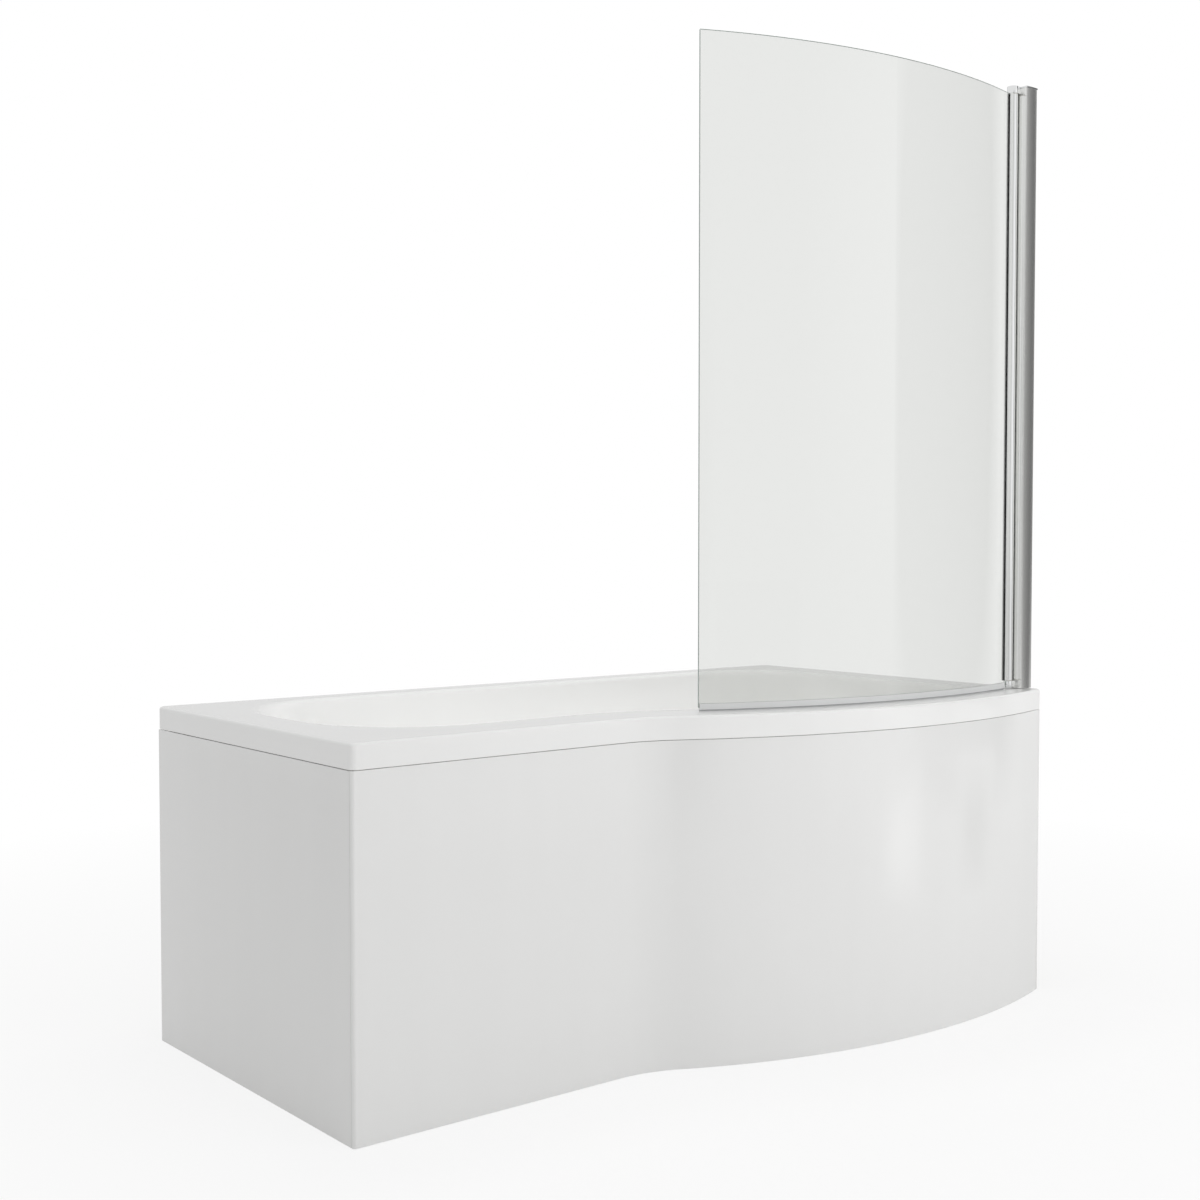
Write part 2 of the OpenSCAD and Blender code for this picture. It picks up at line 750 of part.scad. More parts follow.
module adjuster_holes() {
    for (z = adjust_z)
        translate([adjust_x, profile_y1 - 6, z]) rotate([-90, 0, 0]) cylinder(r = screw_r + slip, h = 7);
}

module wall_channel() {
    wall = 2;
    y_mid = (channel_y0 + channel_y1) / 2;
    color("silver") placed() difference() {
        translate([bath_length - channel_w, channel_y0, profile_low])
            cube([channel_w, channel_y1 - channel_y0, profile_high - profile_low]);
        translate([bath_length - channel_w - 1, channel_y0 + wall, profile_low - 1])
            cube([channel_w + 1 - wall, channel_y1 - channel_y0 - 2 * wall, profile_top]);
        for (z = [wall_hole_low, wall_hole_z - wall_hole_apart, wall_hole_z + wall_hole_apart, wall_hole_high])
            translate([bath_length - wall - 1, y_mid, z]) rotate([0, 90, 0]) cylinder(r = wall_hole_r, h = 4);
        adjuster_holes();
    }
}

module adjuster_profile() {
    wall = 2;
    color("lightgray") placed() difference() {
        translate([profile_x, profile_y0, profile_low]) cube([32, profile_w, profile_high - profile_low]);
        translate([profile_x + wall, profile_y0 + wall, profile_low - 1])
            cube([40, profile_w - 2 * wall, profile_top]);
        adjuster_holes();
        at_block_screws() translate([-wall - 1, 0, 0]) rotate([0, 90, 0]) cylinder(r = screw_r + slip, h = 4);
    }
}

module adjuster_screws() {
    color("silver") placed() for (z = adjust_z) translate([adjust_x, profile_y1, z]) rotate([-90, 0, 0]) {
        translate([0, 0, -7]) cylinder(r = screw_r, h = 8);
        translate([0, 0, 0.1]) cylinder(r = 4, h = 2);
    }
}

module profile_cap() {
    plug_in = 5;
    color("silver") placed() {
        translate([profile_x, profile_y0, profile_high + seat])
            cube([bath_length - profile_x, profile_w, cap_t - seat]);
        translate([profile_x + plug_in, profile_y0 + plug_in, profile_top - 10])
            cube([14, profile_w - 2 * plug_in, 6.3]);
    }
}

module pivot_block(z) {
    difference() {
        union() {
            translate([axis_x, axis_y, z]) cylinder(r = bar_r + 1, h = block_h);
            translate([axis_x, axis_y - 10, z]) cube([profile_x - axis_x - 0.1, 16, block_h]);
        }
        translate([axis_x, axis_y, z - 1]) cylinder(r = pin_r + 0.03, h = block_h + 2);
        translate([axis_x + 6, axis_y - 1, z + block_hole]) rotate([0, 90, 0]) cylinder(r = screw_r + slip, h = 10);
    }
}

// The line of the bottom block's grub screw, from the pin outward to the side that faces the room.
module at_grub() {
    translate([axis_x, axis_y, block_low + grub_up]) rotate([0, -90, 38]) children();
}

module pivot_block_bottom() {
    color("silver") placed() difference() {
        pivot_block(block_low);
        at_grub() cylinder(r = screw_r + slip, h = bar_r + 5);
    }
}

module pivot_block_top() {
    color("silver") placed() pivot_block(block_high);
}

module grub_screw() {
    color("dimgray") placed() at_grub() translate([0, 0, pin_r + seat]) cylinder(r = screw_r, h = bar_r - 4);
}

// On the inside of the profile's face, where each block is screwed to it.
module at_block_screws() {
    for (z = [block_low, block_high]) translate([profile_x + 2, axis_y - 1, z + block_hole]) children();
}

module block_screws() {
    color("silver") placed() at_block_screws() rotate([0, 90, 0]) {
        translate([0, 0, 0.1]) cylinder(r = 4, h = 2.4);
        translate([0, 0, -7.4]) cylinder(r = screw_r, h = 7.6);
    }
}

module pivot_pin_bottom() {
    color("silver") placed() translate([axis_x, axis_y, block_low + 0.5]) cylinder(r = pin_r, h = 34);
}

module pivot_pin_top() {
    color("silver") placed() translate([axis_x, axis_y, block_high - 21]) cylinder(r = pin_r, h = 34.5);
}

module bush(z, up) {
    bore = pin_r + 0.06;
    skin = bar_r - 3.1;
    translate([axis_x, axis_y, z]) mirror([0, 0, up ? 0 : 1]) rotate_extrude() polygon([
        [bore, 0], [bar_r - 0.5, 0], [bar_r - 0.5, bush_flange], [skin, bush_flange], [skin, 18], [bore, 18]]);
}

module pivot_bush_bottom() {
    color("white") placed() bush(bar_low - bush_flange - seat, true);
}

module pivot_bush_top() {
    color("white") placed() bush(bar_top + bush_flange + seat, false);
}

module along_glass() {
    translate([axis_x, axis_y, 0]) rotate([0, 0, glass_dir]) children();
}

module pivot_bar() {
    fin_w = glass_t + 6.4;
    slot_w = glass_t + 3;
    color("silver") placed() translate([axis_x, axis_y, bar_low]) linear_extrude(bar_top - bar_low) difference() {
        union() {
            circle(d = bar_d);
            rotate(glass_dir) translate([bar_r - 2.5, -fin_w / 2]) square([fin_out - bar_r + 2.5, fin_w]);
        }
        circle(r = bar_r - 3);
        rotate(glass_dir) translate([slot_in, -slot_w / 2]) square([20, slot_w]);
    }
}

module glass_gasket() {
    from = slot_in + seat;
    out_w = glass_t + 2.6;
    in_w = glass_t + 2 * fit;
    color("gray") placed() along_glass() difference() {
        translate([from, -out_w / 2, bar_low]) cube([fin_out - from, out_w, glass_top - 1 - bar_low]);
        translate([from + 1.2, -in_w / 2, bar_low - 1]) cube([12, in_w, glass_top]);
    }
}

// A profile drawn as [distance out from the middle of the glass, height], run along the glass.
module run_glass(from_bar, from_end) {
    a_end = from_end / glass_r * 180 / PI;
    a_bar = from_bar / glass_r * 180 / PI;
    translate([glass_centre[0], glass_centre[1], 0]) rotate([0, 0, glass_turn0 + a_end])
        rotate_extrude(angle = 2 * glass_half - a_end - a_bar, $fn = 360) translate([glass_r, 0]) children();
}

module glass_pane() {
    color("lightcyan", 0.4) placed() run_glass(slot_in + 1.6, 0)
        translate([-glass_t / 2, glass_bottom]) square([glass_t, glass_top - glass_bottom]);
}

module bottom_seal() {
    in_w = glass_t / 2 + seat;
    out_w = glass_t / 2 + 1.8;
    floor = glass_bottom - seat;
    color("lightgray") placed() run_glass(seal_from_bar, 1) polygon([
        [-out_w, seal_low], [out_w, seal_low], [out_w, seal_high], [in_w, seal_high], [in_w, floor], [-in_w, floor],
        [-in_w, seal_high], [-out_w, seal_high]]);
}

module wiper_lip() {
    low = rim_height + 0.4;
    color("dimgray") placed() run_glass(seal_from_bar, 1) translate([0.5, low]) square([3, seal_low - seat - low]);
}

bath_tub();
baseboard();
batten_front();
batten_curve();
batten_back();
batten_left();
batten_right();
leg_posts();
leg_rail_left();
leg_rail_right();
post_plugs();
foot_studs();
foot_nuts();
foot_pads();
centre_foot_plate();
frame_bolts();
rail_brackets();
rail_screws();
wall_brackets();
bracket_screws();
front_panel();
end_panel();
panel_clips();
floor_batten_front();
floor_batten_curve();
floor_batten_end();
waste_flange();
waste_washers();
waste_body();
waste_grid();
plug_stem();
plug_cap();
plug_seal();
plug_spring();
overflow_faceplate();
overflow_elbow();
overflow_hose();
hose_clips();
wall_channel();
adjuster_profile();
adjuster_screws();
profile_cap();
pivot_block_bottom();
pivot_block_top();
grub_screw();
block_screws();
pivot_pin_bottom();
pivot_pin_top();
pivot_bush_bottom();
pivot_bush_top();
pivot_bar();
glass_gasket();
glass_pane();
bottom_seal();
wiper_lip();
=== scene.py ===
# %% [markdown]
# # A shower bath with a curved glass screen
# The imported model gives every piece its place: the bath, its panels, the screen and the hidden frame.
# This lesson keeps that frame and dresses it. Some pieces only need a finish, and others are drawn again
# with smooth skins and small rounded edges, because an edge that catches the light is what makes a
# product look real.

# %% Load the fixed frame
import math

import bmesh
import bpy
import numpy as np
from mathutils import Matrix, Vector


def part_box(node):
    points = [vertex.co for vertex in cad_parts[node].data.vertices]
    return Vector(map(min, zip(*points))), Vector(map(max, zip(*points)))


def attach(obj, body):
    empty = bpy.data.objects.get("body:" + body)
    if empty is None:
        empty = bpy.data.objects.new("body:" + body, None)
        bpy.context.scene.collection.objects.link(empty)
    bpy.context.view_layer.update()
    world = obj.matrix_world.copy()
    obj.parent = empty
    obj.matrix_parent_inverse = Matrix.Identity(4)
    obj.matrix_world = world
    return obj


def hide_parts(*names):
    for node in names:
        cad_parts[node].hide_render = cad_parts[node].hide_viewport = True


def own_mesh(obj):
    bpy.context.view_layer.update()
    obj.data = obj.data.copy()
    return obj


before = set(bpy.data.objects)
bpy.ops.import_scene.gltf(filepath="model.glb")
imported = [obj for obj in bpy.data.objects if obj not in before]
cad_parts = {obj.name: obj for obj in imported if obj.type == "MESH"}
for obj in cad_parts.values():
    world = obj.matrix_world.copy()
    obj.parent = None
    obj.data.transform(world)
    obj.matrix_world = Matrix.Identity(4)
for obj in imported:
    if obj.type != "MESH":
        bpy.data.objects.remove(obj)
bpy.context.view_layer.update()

# %% [markdown]
# ## The sizes of the bath
# All the sizes are in millimetres and start at the front left corner of the bath, on the floor, as a
# fitter would measure. The front runs straight as far as START, goes through a hollow curve of radius
# R_IN and then round a wide one that is furthest out at PEAK. One function moves everything into the
# shared frame in metres, so no piece needs fitting by eye.

# %% The main sizes
LENGTH = 1500.0
WIDTH = 675.0
BULGE = 155.0
HEIGHT = 600.0
FACE = 40.0
SHELL = 5.0
DEPTH = 405.0
START = 510.0
PEAK = 1146.0
R_IN = 229.0
MIDDLE = (LENGTH / 2, (WIDTH - BULGE) / 2, 0)
FLOOR = HEIGHT - DEPTH
FACE_LOW = HEIGHT - FACE
TURN = 2 * math.degrees(math.atan(BULGE / (PEAK - START)))
R_OUT = (PEAK - START) / math.sin(math.radians(TURN)) - R_IN
PEAK_Y = R_OUT - BULGE
END_A = math.degrees(math.asin((LENGTH - PEAK) / R_OUT))
END_Y = PEAK_Y - R_OUT * math.cos(math.radians(END_A))
WASTE = (1225.0, 300.0, FLOOR)
AXIS = (1453.0, END_Y + 45)
print("front turns", round(TURN, 2), "degrees, then follows a radius of", round(R_OUT), "mm")


def metres(points):
    """Bath millimetres to metres in the shared frame."""
    return (np.asarray(points, float).reshape(-1, 3) - MIDDLE) / 1000


def arc(cx, cy, r, a0, a1, n):
    """Points along an arc in plan, angles in degrees."""
    a = np.radians(np.linspace(a0, a1, n + 1))
    return np.stack([cx + r * np.cos(a), cy + r * np.sin(a)], 1)


# %% [markdown]
# ## Small tools for meshes
# Most pieces are a plan pushed up to a height, or a profile turned about an axis. Both could be made with
# modifiers on curves. Plain mesh code is shorter here, and it keeps every point where the sizes say.
# A corner that is sharp on the drawing is never quite sharp on the product, so one tool softens the
# corners of a drawn line before it is used.

# %% Make a piece from points and faces


def new_object(name, data):
    """An object for some data, linked to the scene."""
    obj = bpy.data.objects.new(name, data)
    bpy.context.scene.collection.objects.link(obj)
    return obj


def shade(obj, angle=32.0):
    """Smooth shading that stays crisp where faces meet at more than the angle."""
    mesh = obj.data
    mesh.polygons.foreach_set("use_smooth", [True] * len(mesh.polygons))
    mesh.set_sharp_from_angle(angle=math.radians(angle))
    return obj


def face_outward(mesh, merge=False):
    """Turns a mesh's faces outward, after merging its double points if asked."""
    work = bmesh.new()
    work.from_mesh(mesh)
    if merge:
        bmesh.ops.remove_doubles(work, verts=work.verts, dist=1e-6)
    bmesh.ops.recalc_face_normals(work, faces=work.faces)
    work.to_mesh(mesh)
    work.free()


def piece(name, points, faces, *materials, slots=None):
    """A mesh object from points in bath millimetres; slots gives each face's material."""
    mesh = bpy.data.meshes.new(name)
    mesh.from_pydata(metres(points).tolist(), [], [list(map(int, f)) for f in faces])
    if slots:
        mesh.polygons.foreach_set("material_index", slots)
    face_outward(mesh, merge=True)
    for material in materials:
        mesh.materials.append(material)
    return shade(new_object(name, mesh))


def settle(obj, angle=32.0):
    """Applies an object's modifiers and leaves a plain mesh."""
    graph = bpy.context.evaluated_depsgraph_get()
    mesh = bpy.data.meshes.new_from_object(obj.evaluated_get(graph))
    face_outward(mesh)
    name = obj.name
    bpy.data.objects.remove(obj)
    return shade(new_object(name, mesh), angle)


def soft_edges(obj, width, segments=3):
    """Rounds the sharp edges of a piece; a small shading angle then keeps its flat faces flat."""
    bevel = obj.modifiers.new("Soft edges", "BEVEL")
    bevel.width = width / 1000
    bevel.segments = segments
    bevel.limit_method = "ANGLE"
    bevel.angle_limit = math.radians(40)
    return settle(obj, 20)


def cut_away(obj, tool):
    """Cuts the shape of a tool out of a piece, and removes the tool."""
    cut = obj.modifiers.new("Cut", "BOOLEAN")
    cut.operation = "DIFFERENCE"
    cut.object = tool
    obj = settle(obj)
    bpy.data.objects.remove(tool)
    return obj


# %% Push a plan up, or turn a profile


def grid_faces(rows, columns, close_rows=False, close_columns=False):
    """Quads over a grid of points, row by row."""
    faces = []
    for r in range(rows if close_rows else rows - 1):
        for c in range(columns if close_columns else columns - 1):
            r2 = (r + 1) % rows
            c2 = (c + 1) % columns
            faces.append([r * columns + c, r * columns + c2, r2 * columns + c2, r2 * columns + c])
    return faces


def prism(outlines, low, high):
    """Points and faces of closed plans pushed up from one height to another; extra plans are holes."""
    work = bmesh.new()
    for outline in outlines:
        verts = [work.verts.new((x, y, low)) for x, y in outline]
        for a, b in zip(verts, verts[1:] + verts[:1]):
            work.edges.new((a, b))
    bmesh.ops.triangle_fill(work, use_beauty=True, edges=work.edges[:])
    pushed = bmesh.ops.extrude_face_region(work, geom=work.faces[:])["geom"]
    for item in pushed:
        if isinstance(item, bmesh.types.BMVert):
            item.co.z = high
    work.verts.index_update()
    points = [tuple(v.co) for v in work.verts]
    faces = [[v.index for v in f.verts] for f in work.faces]
    work.free()
    return points, faces


def soften(line, amount, closed=True, n=4):
    """A drawn line of 2-D points with each corner eased over a distance."""
    pts = [np.asarray(p, float) for p in line]
    out = []
    for i, p in enumerate(pts):
        if not closed and i in (0, len(pts) - 1):
            out.append(p)
            continue
        before = pts[i - 1]
        after = pts[(i + 1) % len(pts)]
        a = p + (before - p) * min(0.5, amount / np.linalg.norm(before - p))
        b = p + (after - p) * min(0.5, amount / np.linalg.norm(after - p))
        for t in np.linspace(0, 1, n + 1):
            out.append((1 - t) ** 2 * a + 2 * t * (1 - t) * p + t * t * b)
    return out


def lathe(profile, steps, closed=True, ease=0.0, n=2):
    """Points and faces of a profile of (radius, height) turned about the upright axis."""
    if ease:
        profile = soften(profile, ease, closed, n)
    a = np.linspace(0, 2 * math.pi, steps, endpoint=False)
    points = [(r * math.cos(t), r * math.sin(t), z) for t in a for r, z in profile]
    return points, grid_faces(steps, len(profile), True, closed)


def joined(*parts):
    """Several sets of points and faces as one."""
    points, faces = [], []
    for p, f in parts:
        faces += [[i + len(points) for i in face] for face in f]
        points += list(map(tuple, p))
    return points, faces


def rotation(degrees, axis):
    """A turn about an axis, as a matrix."""
    return Matrix.Rotation(math.radians(degrees), 3, axis)


def moved(part, origin, turn=None):
    """Points and faces turned by a matrix and then moved, in millimetres."""
    m = np.array(turn) if turn else np.eye(3)
    return np.asarray(part[0], float) @ m.T + np.asarray(origin, float), part[1]


# %% [markdown]
# ## Small tools for materials and node trees
# A colour is picked on a screen as a hex value, but a shader adds up light, so one function turns it into
# linear numbers. Another adds any node, with its settings and its links, and is used for shaders and for
# geometry alike. The short ones after it are the nodes that most finishes need, and each gives back the
# output that the next node takes. Pattern sizes are given in millimetres.

# %% Colours and nodes


def colour(code):
    """A hex screen colour as the linear values a shader uses."""
    parts = [int(code[i:i + 2], 16) / 255 for i in (1, 3, 5)]
    return [c / 12.92 if c <= 0.04045 else ((c + 0.055) / 1.055) ** 2.4 for c in parts] + [1.0]


def add(tree, kind, inputs=None, **settings):
    """Adds a node; each input is a plain value or another node's output."""
    node = tree.nodes.new(kind)
    for key, value in settings.items():
        setattr(node, key, value)
    for key, value in (inputs or {}).items():
        if isinstance(value, bpy.types.NodeSocket):
            tree.links.new(value, node.inputs[key])
        else:
            node.inputs[key].default_value = value
    return node


def maths(tree, operation, *values):
    """One step of arithmetic."""
    return add(tree, "ShaderNodeMath", dict(enumerate(values)), operation=operation).outputs[0]


def spread(tree, value, low, high, start=0.0, stop=1.0):
    """Takes a value that runs from start to stop, and makes it run from low to high."""
    return add(tree, "ShaderNodeMapRange", {0: value, 1: start, 2: stop, 3: low, 4: high}).outputs[0]


def between(tree, share, low, high):
    """A mix of two screen colours."""
    inputs = {0: share, 6: colour(low), 7: colour(high)}
    return add(tree, "ShaderNodeMix", inputs, data_type="RGBA").outputs[2]


def on_object(tree):
    """The place on the piece, which a pattern is drawn from."""
    return add(tree, "ShaderNodeTexCoord").outputs["Object"]


def noise(tree, mm, detail=2.0, stretch=None):
    """A soft noise of a size, drawn out along an axis where the stretch is small."""
    where = on_object(tree)
    if stretch:
        where = add(tree, "ShaderNodeMapping", {"Vector": where, "Scale": stretch}).outputs[0]
    inputs = {"Vector": where, "Scale": 1000 / mm, "Detail": detail}
    return add(tree, "ShaderNodeTexNoise", inputs).outputs[0]


def relief(tree, height, strength, mm):
    """A bump that is this deep at full strength."""
    inputs = {"Height": height, "Strength": strength, "Distance": mm / 1000}
    return add(tree, "ShaderNodeBump", inputs).outputs[0]


def finish(name):
    """A new material with an empty tree."""
    made = bpy.data.materials.new(name)
    made.use_nodes = True
    made.node_tree.nodes.clear()
    return made, made.node_tree


def output(tree, shader):
    """Joins a shader to the material's output."""
    add(tree, "ShaderNodeOutputMaterial", {"Surface": shader.outputs[0]})


def surface(tree, base, rough, **more):
    """Ends a material in one physical shader."""
    names = {"metal": "Metallic", "ior": "IOR", "clear": "Transmission Weight", "bump": "Normal"}
    inputs = {"Base Color": base, "Roughness": rough, **{names[key]: value for key, value in more.items()}}
    output(tree, add(tree, "ShaderNodeBsdfPrincipled", inputs))


# %% [markdown]
# ## Acrylic
# The bath is a sheet of cast acrylic, drawn over a mould by vacuum while it is hot. That gives a deep
# gloss with a very slight waviness, like the skin of an orange seen from afar. The waviness is a bump of a
# few hundredths of a millimetre, because a flat mirror of a surface looks like a drawing and not a bath.

# %% Acrylic and its reinforced back
acrylic, tree = finish("Cast acrylic, vacuum formed")
cloud = noise(tree, 260)
surface(tree, between(tree, cloud, "#F5F5F4", "#F9F9F8"), spread(tree, cloud, 0.10, 0.16), ior=1.49,
        bump=relief(tree, noise(tree, 34, 1.0), 0.10, 0.4))

# The back of the sheet is sprayed with chopped glass strands in resin: matt, yellowish and fibrous.
strand_back, tree = finish("Chopped glass strand in polyester resin")
where = on_object(tree)
bent = add(tree, "ShaderNodeTexNoise", {"Vector": where, "Scale": 1000 / 40, "Detail": 2.0})
mixed = add(tree, "ShaderNodeMix", {0: 0.04, 4: where, 5: bent.outputs["Color"]}, data_type="VECTOR")
strand = add(tree, "ShaderNodeTexVoronoi", {"Vector": mixed.outputs[1], "Scale": 1000 / 9},
             feature="DISTANCE_TO_EDGE")
line = spread(tree, strand.outputs[0], 1.0, 0.0, 0.0, 0.12)
surface(tree, between(tree, line, "#CFC9B4", "#E6E2D2"), 0.55, ior=1.52, bump=relief(tree, line, 0.5, 0.6))

# %% [markdown]
# ## Panel plastic
# The panels are pressed from high-impact acrylic-capped plastic sheet. Their gloss is a little softer
# than the bath's, and their waves run upright, from the rollers that drew the sheet.

# %% Panel plastic
panel_white, tree = finish("Acrylic-capped ABS sheet, pressed")
wave = noise(tree, 55, 1.0, (1.0, 1.0, 0.12))
surface(tree, between(tree, wave, "#EEEEED", "#F0F0EF"), spread(tree, wave, 0.11, 0.15), ior=1.5,
        bump=relief(tree, wave, 0.10, 0.6))

# %% [markdown]
# ## Glass
# The screen is float glass, bent over a mould while hot and then toughened by cold air. Clear float holds
# a little iron, so it takes some light away and its ground and polished edges look grey-green. The eye
# reads the edges more than the face, so they have a finish of their own.

# %% Glass faces and edges
glass, tree = finish("Toughened float glass, bent")
surface(tree, colour("#E7E8E6"), 0.0, ior=1.52, clear=1.0,
        bump=relief(tree, noise(tree, 180, 1.0, (1.0, 1.0, 0.3)), 0.04, 1.0))

glass_edge, tree = finish("Float glass edge, ground and polished")
surface(tree, colour("#A9B8B1"), spread(tree, noise(tree, 3), 0.10, 0.22), ior=1.52, clear=0.35)

# %% [markdown]
# ## Bright metal
# The hinge parts and the waste are brass, polished and plated with chrome. The wall profile is drawn
# aluminium, brushed along its length and anodised, so it is softer than the chrome and holds faint upright
# lines. Those lie a tenth of a millimetre apart on a real bar and are coarser here, so that they show.
# The legs, brackets and screws are mild steel with a thin bright skin of zinc, cloudy from the bath it is
# plated in. All keep the default IOR, because a metal's colour already says how it reflects.

# %% Chrome, aluminium and zinc
chrome, tree = finish("Chrome-plated brass, polished")
surface(tree, colour("#E3E4E4"), spread(tree, noise(tree, 18, 3.0), 0.03, 0.09), metal=1.0)

aluminium, tree = finish("Drawn aluminium, satin anodised")
lines = noise(tree, 0.9, stretch=(1.0, 1.0, 0.004))
surface(tree, colour("#F8F8F6"), spread(tree, lines, 0.14, 0.22), metal=1.0,
        bump=relief(tree, lines, 0.06, 0.1))


def cells(tree, mm):
    """A pattern of cells of a size, each with its own colour."""
    return add(tree, "ShaderNodeTexVoronoi", {"Vector": on_object(tree), "Scale": 1000 / mm}).outputs


zinc, tree = finish("Mild steel, zinc plated")
haze = noise(tree, 25, 4.0)
spangle = maths(tree, "MULTIPLY", cells(tree, 7)["Distance"], haze)
surface(tree, between(tree, haze, "#A9AEB2", "#C9CCCD"), spread(tree, spangle, 0.26, 0.48, 0.0, 0.5),
        metal=1.0)

# %% [markdown]
# ## Timber and board
# Sawn spruce battens stiffen the rim and hold the panels. Their grain runs along the batten, so one
# material is made for battens that lie along the bath and one for those that lie across it. The baseboard
# is chipboard: chips of wood, pressed with resin, each chip a slightly different brown.

# %% Spruce along and across, and chipboard


def spruce(name, stretch):
    """Sawn spruce whose grain is stretched along one direction."""
    made, tree = finish(name)
    ring = spread(tree, noise(tree, 4, 3.0, stretch), 0.0, 1.0, 0.35, 0.65)
    surface(tree, between(tree, ring, "#C49A63", "#E2C493"), 0.72,
            bump=relief(tree, noise(tree, 0.8, 2.0, stretch), 0.5, 0.4))
    return made


spruce_along = spruce("Sawn spruce, grain along the bath", (0.02, 1.0, 1.0))
spruce_across = spruce("Sawn spruce, grain across the bath", (1.0, 0.02, 1.0))

chipboard, tree = finish("Chipboard, pressed and sanded")
chip = add(tree, "ShaderNodeSeparateColor", {0: cells(tree, 5)["Color"]}).outputs[0]
surface(tree, between(tree, chip, "#A9824F", "#D8BB87"), 0.65, bump=relief(tree, chip, 0.25, 0.2))

# %% [markdown]
# ## Plastics and rubber
# The waste and the feet are moulded polypropylene, black and fine-grained from the etched mould. The seal
# on the glass is clear soft vinyl that has been extruded, which looks milky at a grazing angle. Washers
# are rubber, the wiping lip is a soft grey vinyl, and the hinge bushes are nylon.

# %% Moulded plastics


def moulded(name, low, high, grain, rough, ior):
    """A moulded plastic: two close colours, a mould grain of a size and its gloss."""
    made, tree = finish(name)
    broad = noise(tree, grain * 30)
    surface(tree, between(tree, broad, low, high), spread(tree, broad, rough - 0.05, rough + 0.07), ior=ior,
            bump=relief(tree, noise(tree, grain), 0.2, 0.1))
    return made


black_pp = moulded("Polypropylene, black, moulded", "#1C1D1F", "#26282A", 1.0, 0.45, 1.49)
rubber = moulded("Rubber, black, moulded", "#1B1B1B", "#2A2A2A", 1.4, 0.75, 1.52)
grey_hose = moulded("Polyethylene, grey, corrugated", "#A6A9AB", "#B4B7B8", 1.5, 0.5, 1.51)
nylon = moulded("Nylon, white, turned", "#E2E0D8", "#ECEAE4", 1.2, 0.42, 1.53)
lip_grey = moulded("Soft vinyl lip, grey", "#A9ABAC", "#B7B9BA", 1.2, 0.5, 1.53)

seal_clear, tree = finish("Soft vinyl, clear, extruded")
surface(tree, colour("#E3E4E4"), spread(tree, noise(tree, 30), 0.27, 0.32), ior=1.53, clear=0.10)
print(len(bpy.data.materials), "finishes")

# %% [markdown]
# ## Riding on the frame
# Every piece rides on a body of the frame, so that it moves when a joint moves. A piece that is drawn
# again also hides the plain node it stands for.

# %% Ride, replace and measure


def dress(obj, on, slot, *nodes):
    """Rides a finished piece on a body, lets it stand for the nodes named and measures it against them."""
    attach(obj, on)
    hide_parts(*nodes)
    co = np.array([v.co for v in obj.data.vertices])
    low = np.min([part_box(n)[0] for n in nodes], 0)
    high = np.max([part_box(n)[1] for n in nodes], 0)
    off = max(np.abs(co.min(0) - low).max(), np.abs(co.max(0) - high).max()) * 1000
    print(f"{obj.name}: {len(obj.data.polygons)} faces, off the plain node by {off:.2f} mm")


def keep(material, *nodes):
    """Gives carried-over nodes their finish."""
    for name in nodes:
        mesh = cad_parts[name].data
        mesh.materials.clear()
        mesh.materials.append(material)


# %% [markdown]
# ## The shell of the bath
# On the real bath one sheet of acrylic flows from the turned-down face over the flat rim into the bowl.
# It could be a subdivided box or a lofted surface. It is lofted here from closed rings, because the same
# rule that shapes the plan at the rim shapes it at the floor: each wall leans in by its own slope and
# meets the floor in its own curve, long and lazy under the backrest, tighter where a person stands. The
# corners of the bowl have one radius at the backrest and one at the wide end, and both shrink on the way
# down.

# %% The rule for the walls
LIP = 14.0
LIP_Z = HEIGHT - LIP
LEDGE = {"left": 78.0, "right": 70.0, "front": 92.0, "back": 45.0}
SLOPE = {"left": 30.0, "right": 6.0, "front": 6.0, "back": 6.0}
SWEEP = {"left": 150.0, "right": 70.0, "front": 60.0, "back": 60.0}
CORNER = np.array([205.0, 150.0])
CORNER_LESS = np.array([65.0, 50.0])


def outline(left, right, front, back, left_r, right_r):
    """One closed ring of the bath's plan, set in by a distance on each side."""
    # The corners at the narrow end stop just short of the place where the front begins to curve.
    left_r = min(left_r, START - left - 1)
    ra = R_OUT - front
    x_end = LENGTH - right - right_r
    ea = math.degrees(math.asin((x_end - PEAK) / (ra - right_r)))
    y_end = PEAK_Y - (ra - right_r) * math.cos(math.radians(ea))
    x0 = left + left_r
    top = WIDTH - back
    straight = np.linspace(0, 1, 9)[1:-1, None]
    return np.concatenate([
        arc(x0, front + left_r, left_r, 180, 270, 18),
        (1 - straight) * [x0, front] + straight * [START, front],
        arc(START, -R_IN, R_IN + front, 90, 90 - TURN, 16),
        arc(PEAK, PEAK_Y, ra, -90 - TURN * 0.975, -90 + ea, 52),
        arc(x_end, y_end, right_r, -90 + ea + 3, 0, 16),
        arc(x_end, top - right_r, right_r, 0, 90, 18),
        (1 - straight) * [x_end, top] + straight * [x0, top],
        arc(x0, top - left_r, left_r, 90, 180, 18)])


def lean(z, side, lip, wall):
    """How far one wall has moved in at a height, for the face (wall 0) or the back of the sheet."""
    slope = math.radians(SLOPE[side])
    sweep = SWEEP[side]
    top = LIP_Z + lip * math.sin(slope)
    bend = FLOOR + sweep - (sweep + wall) * math.sin(slope)
    face_top = LIP_Z + LIP * math.sin(slope)
    face_bend = FLOOR + sweep - sweep * math.sin(slope)
    deep = LIP * math.cos(slope) + (face_top - face_bend) * math.tan(slope) + sweep * math.cos(slope)
    if z >= top:
        return math.sqrt(max(0.0, lip ** 2 - (z - LIP_Z) ** 2))
    if z >= bend:
        return lip * math.cos(slope) + (top - z) * math.tan(slope)
    return deep - math.sqrt(max(0.0, (sweep + wall) ** 2 - (FLOOR + sweep - z) ** 2))


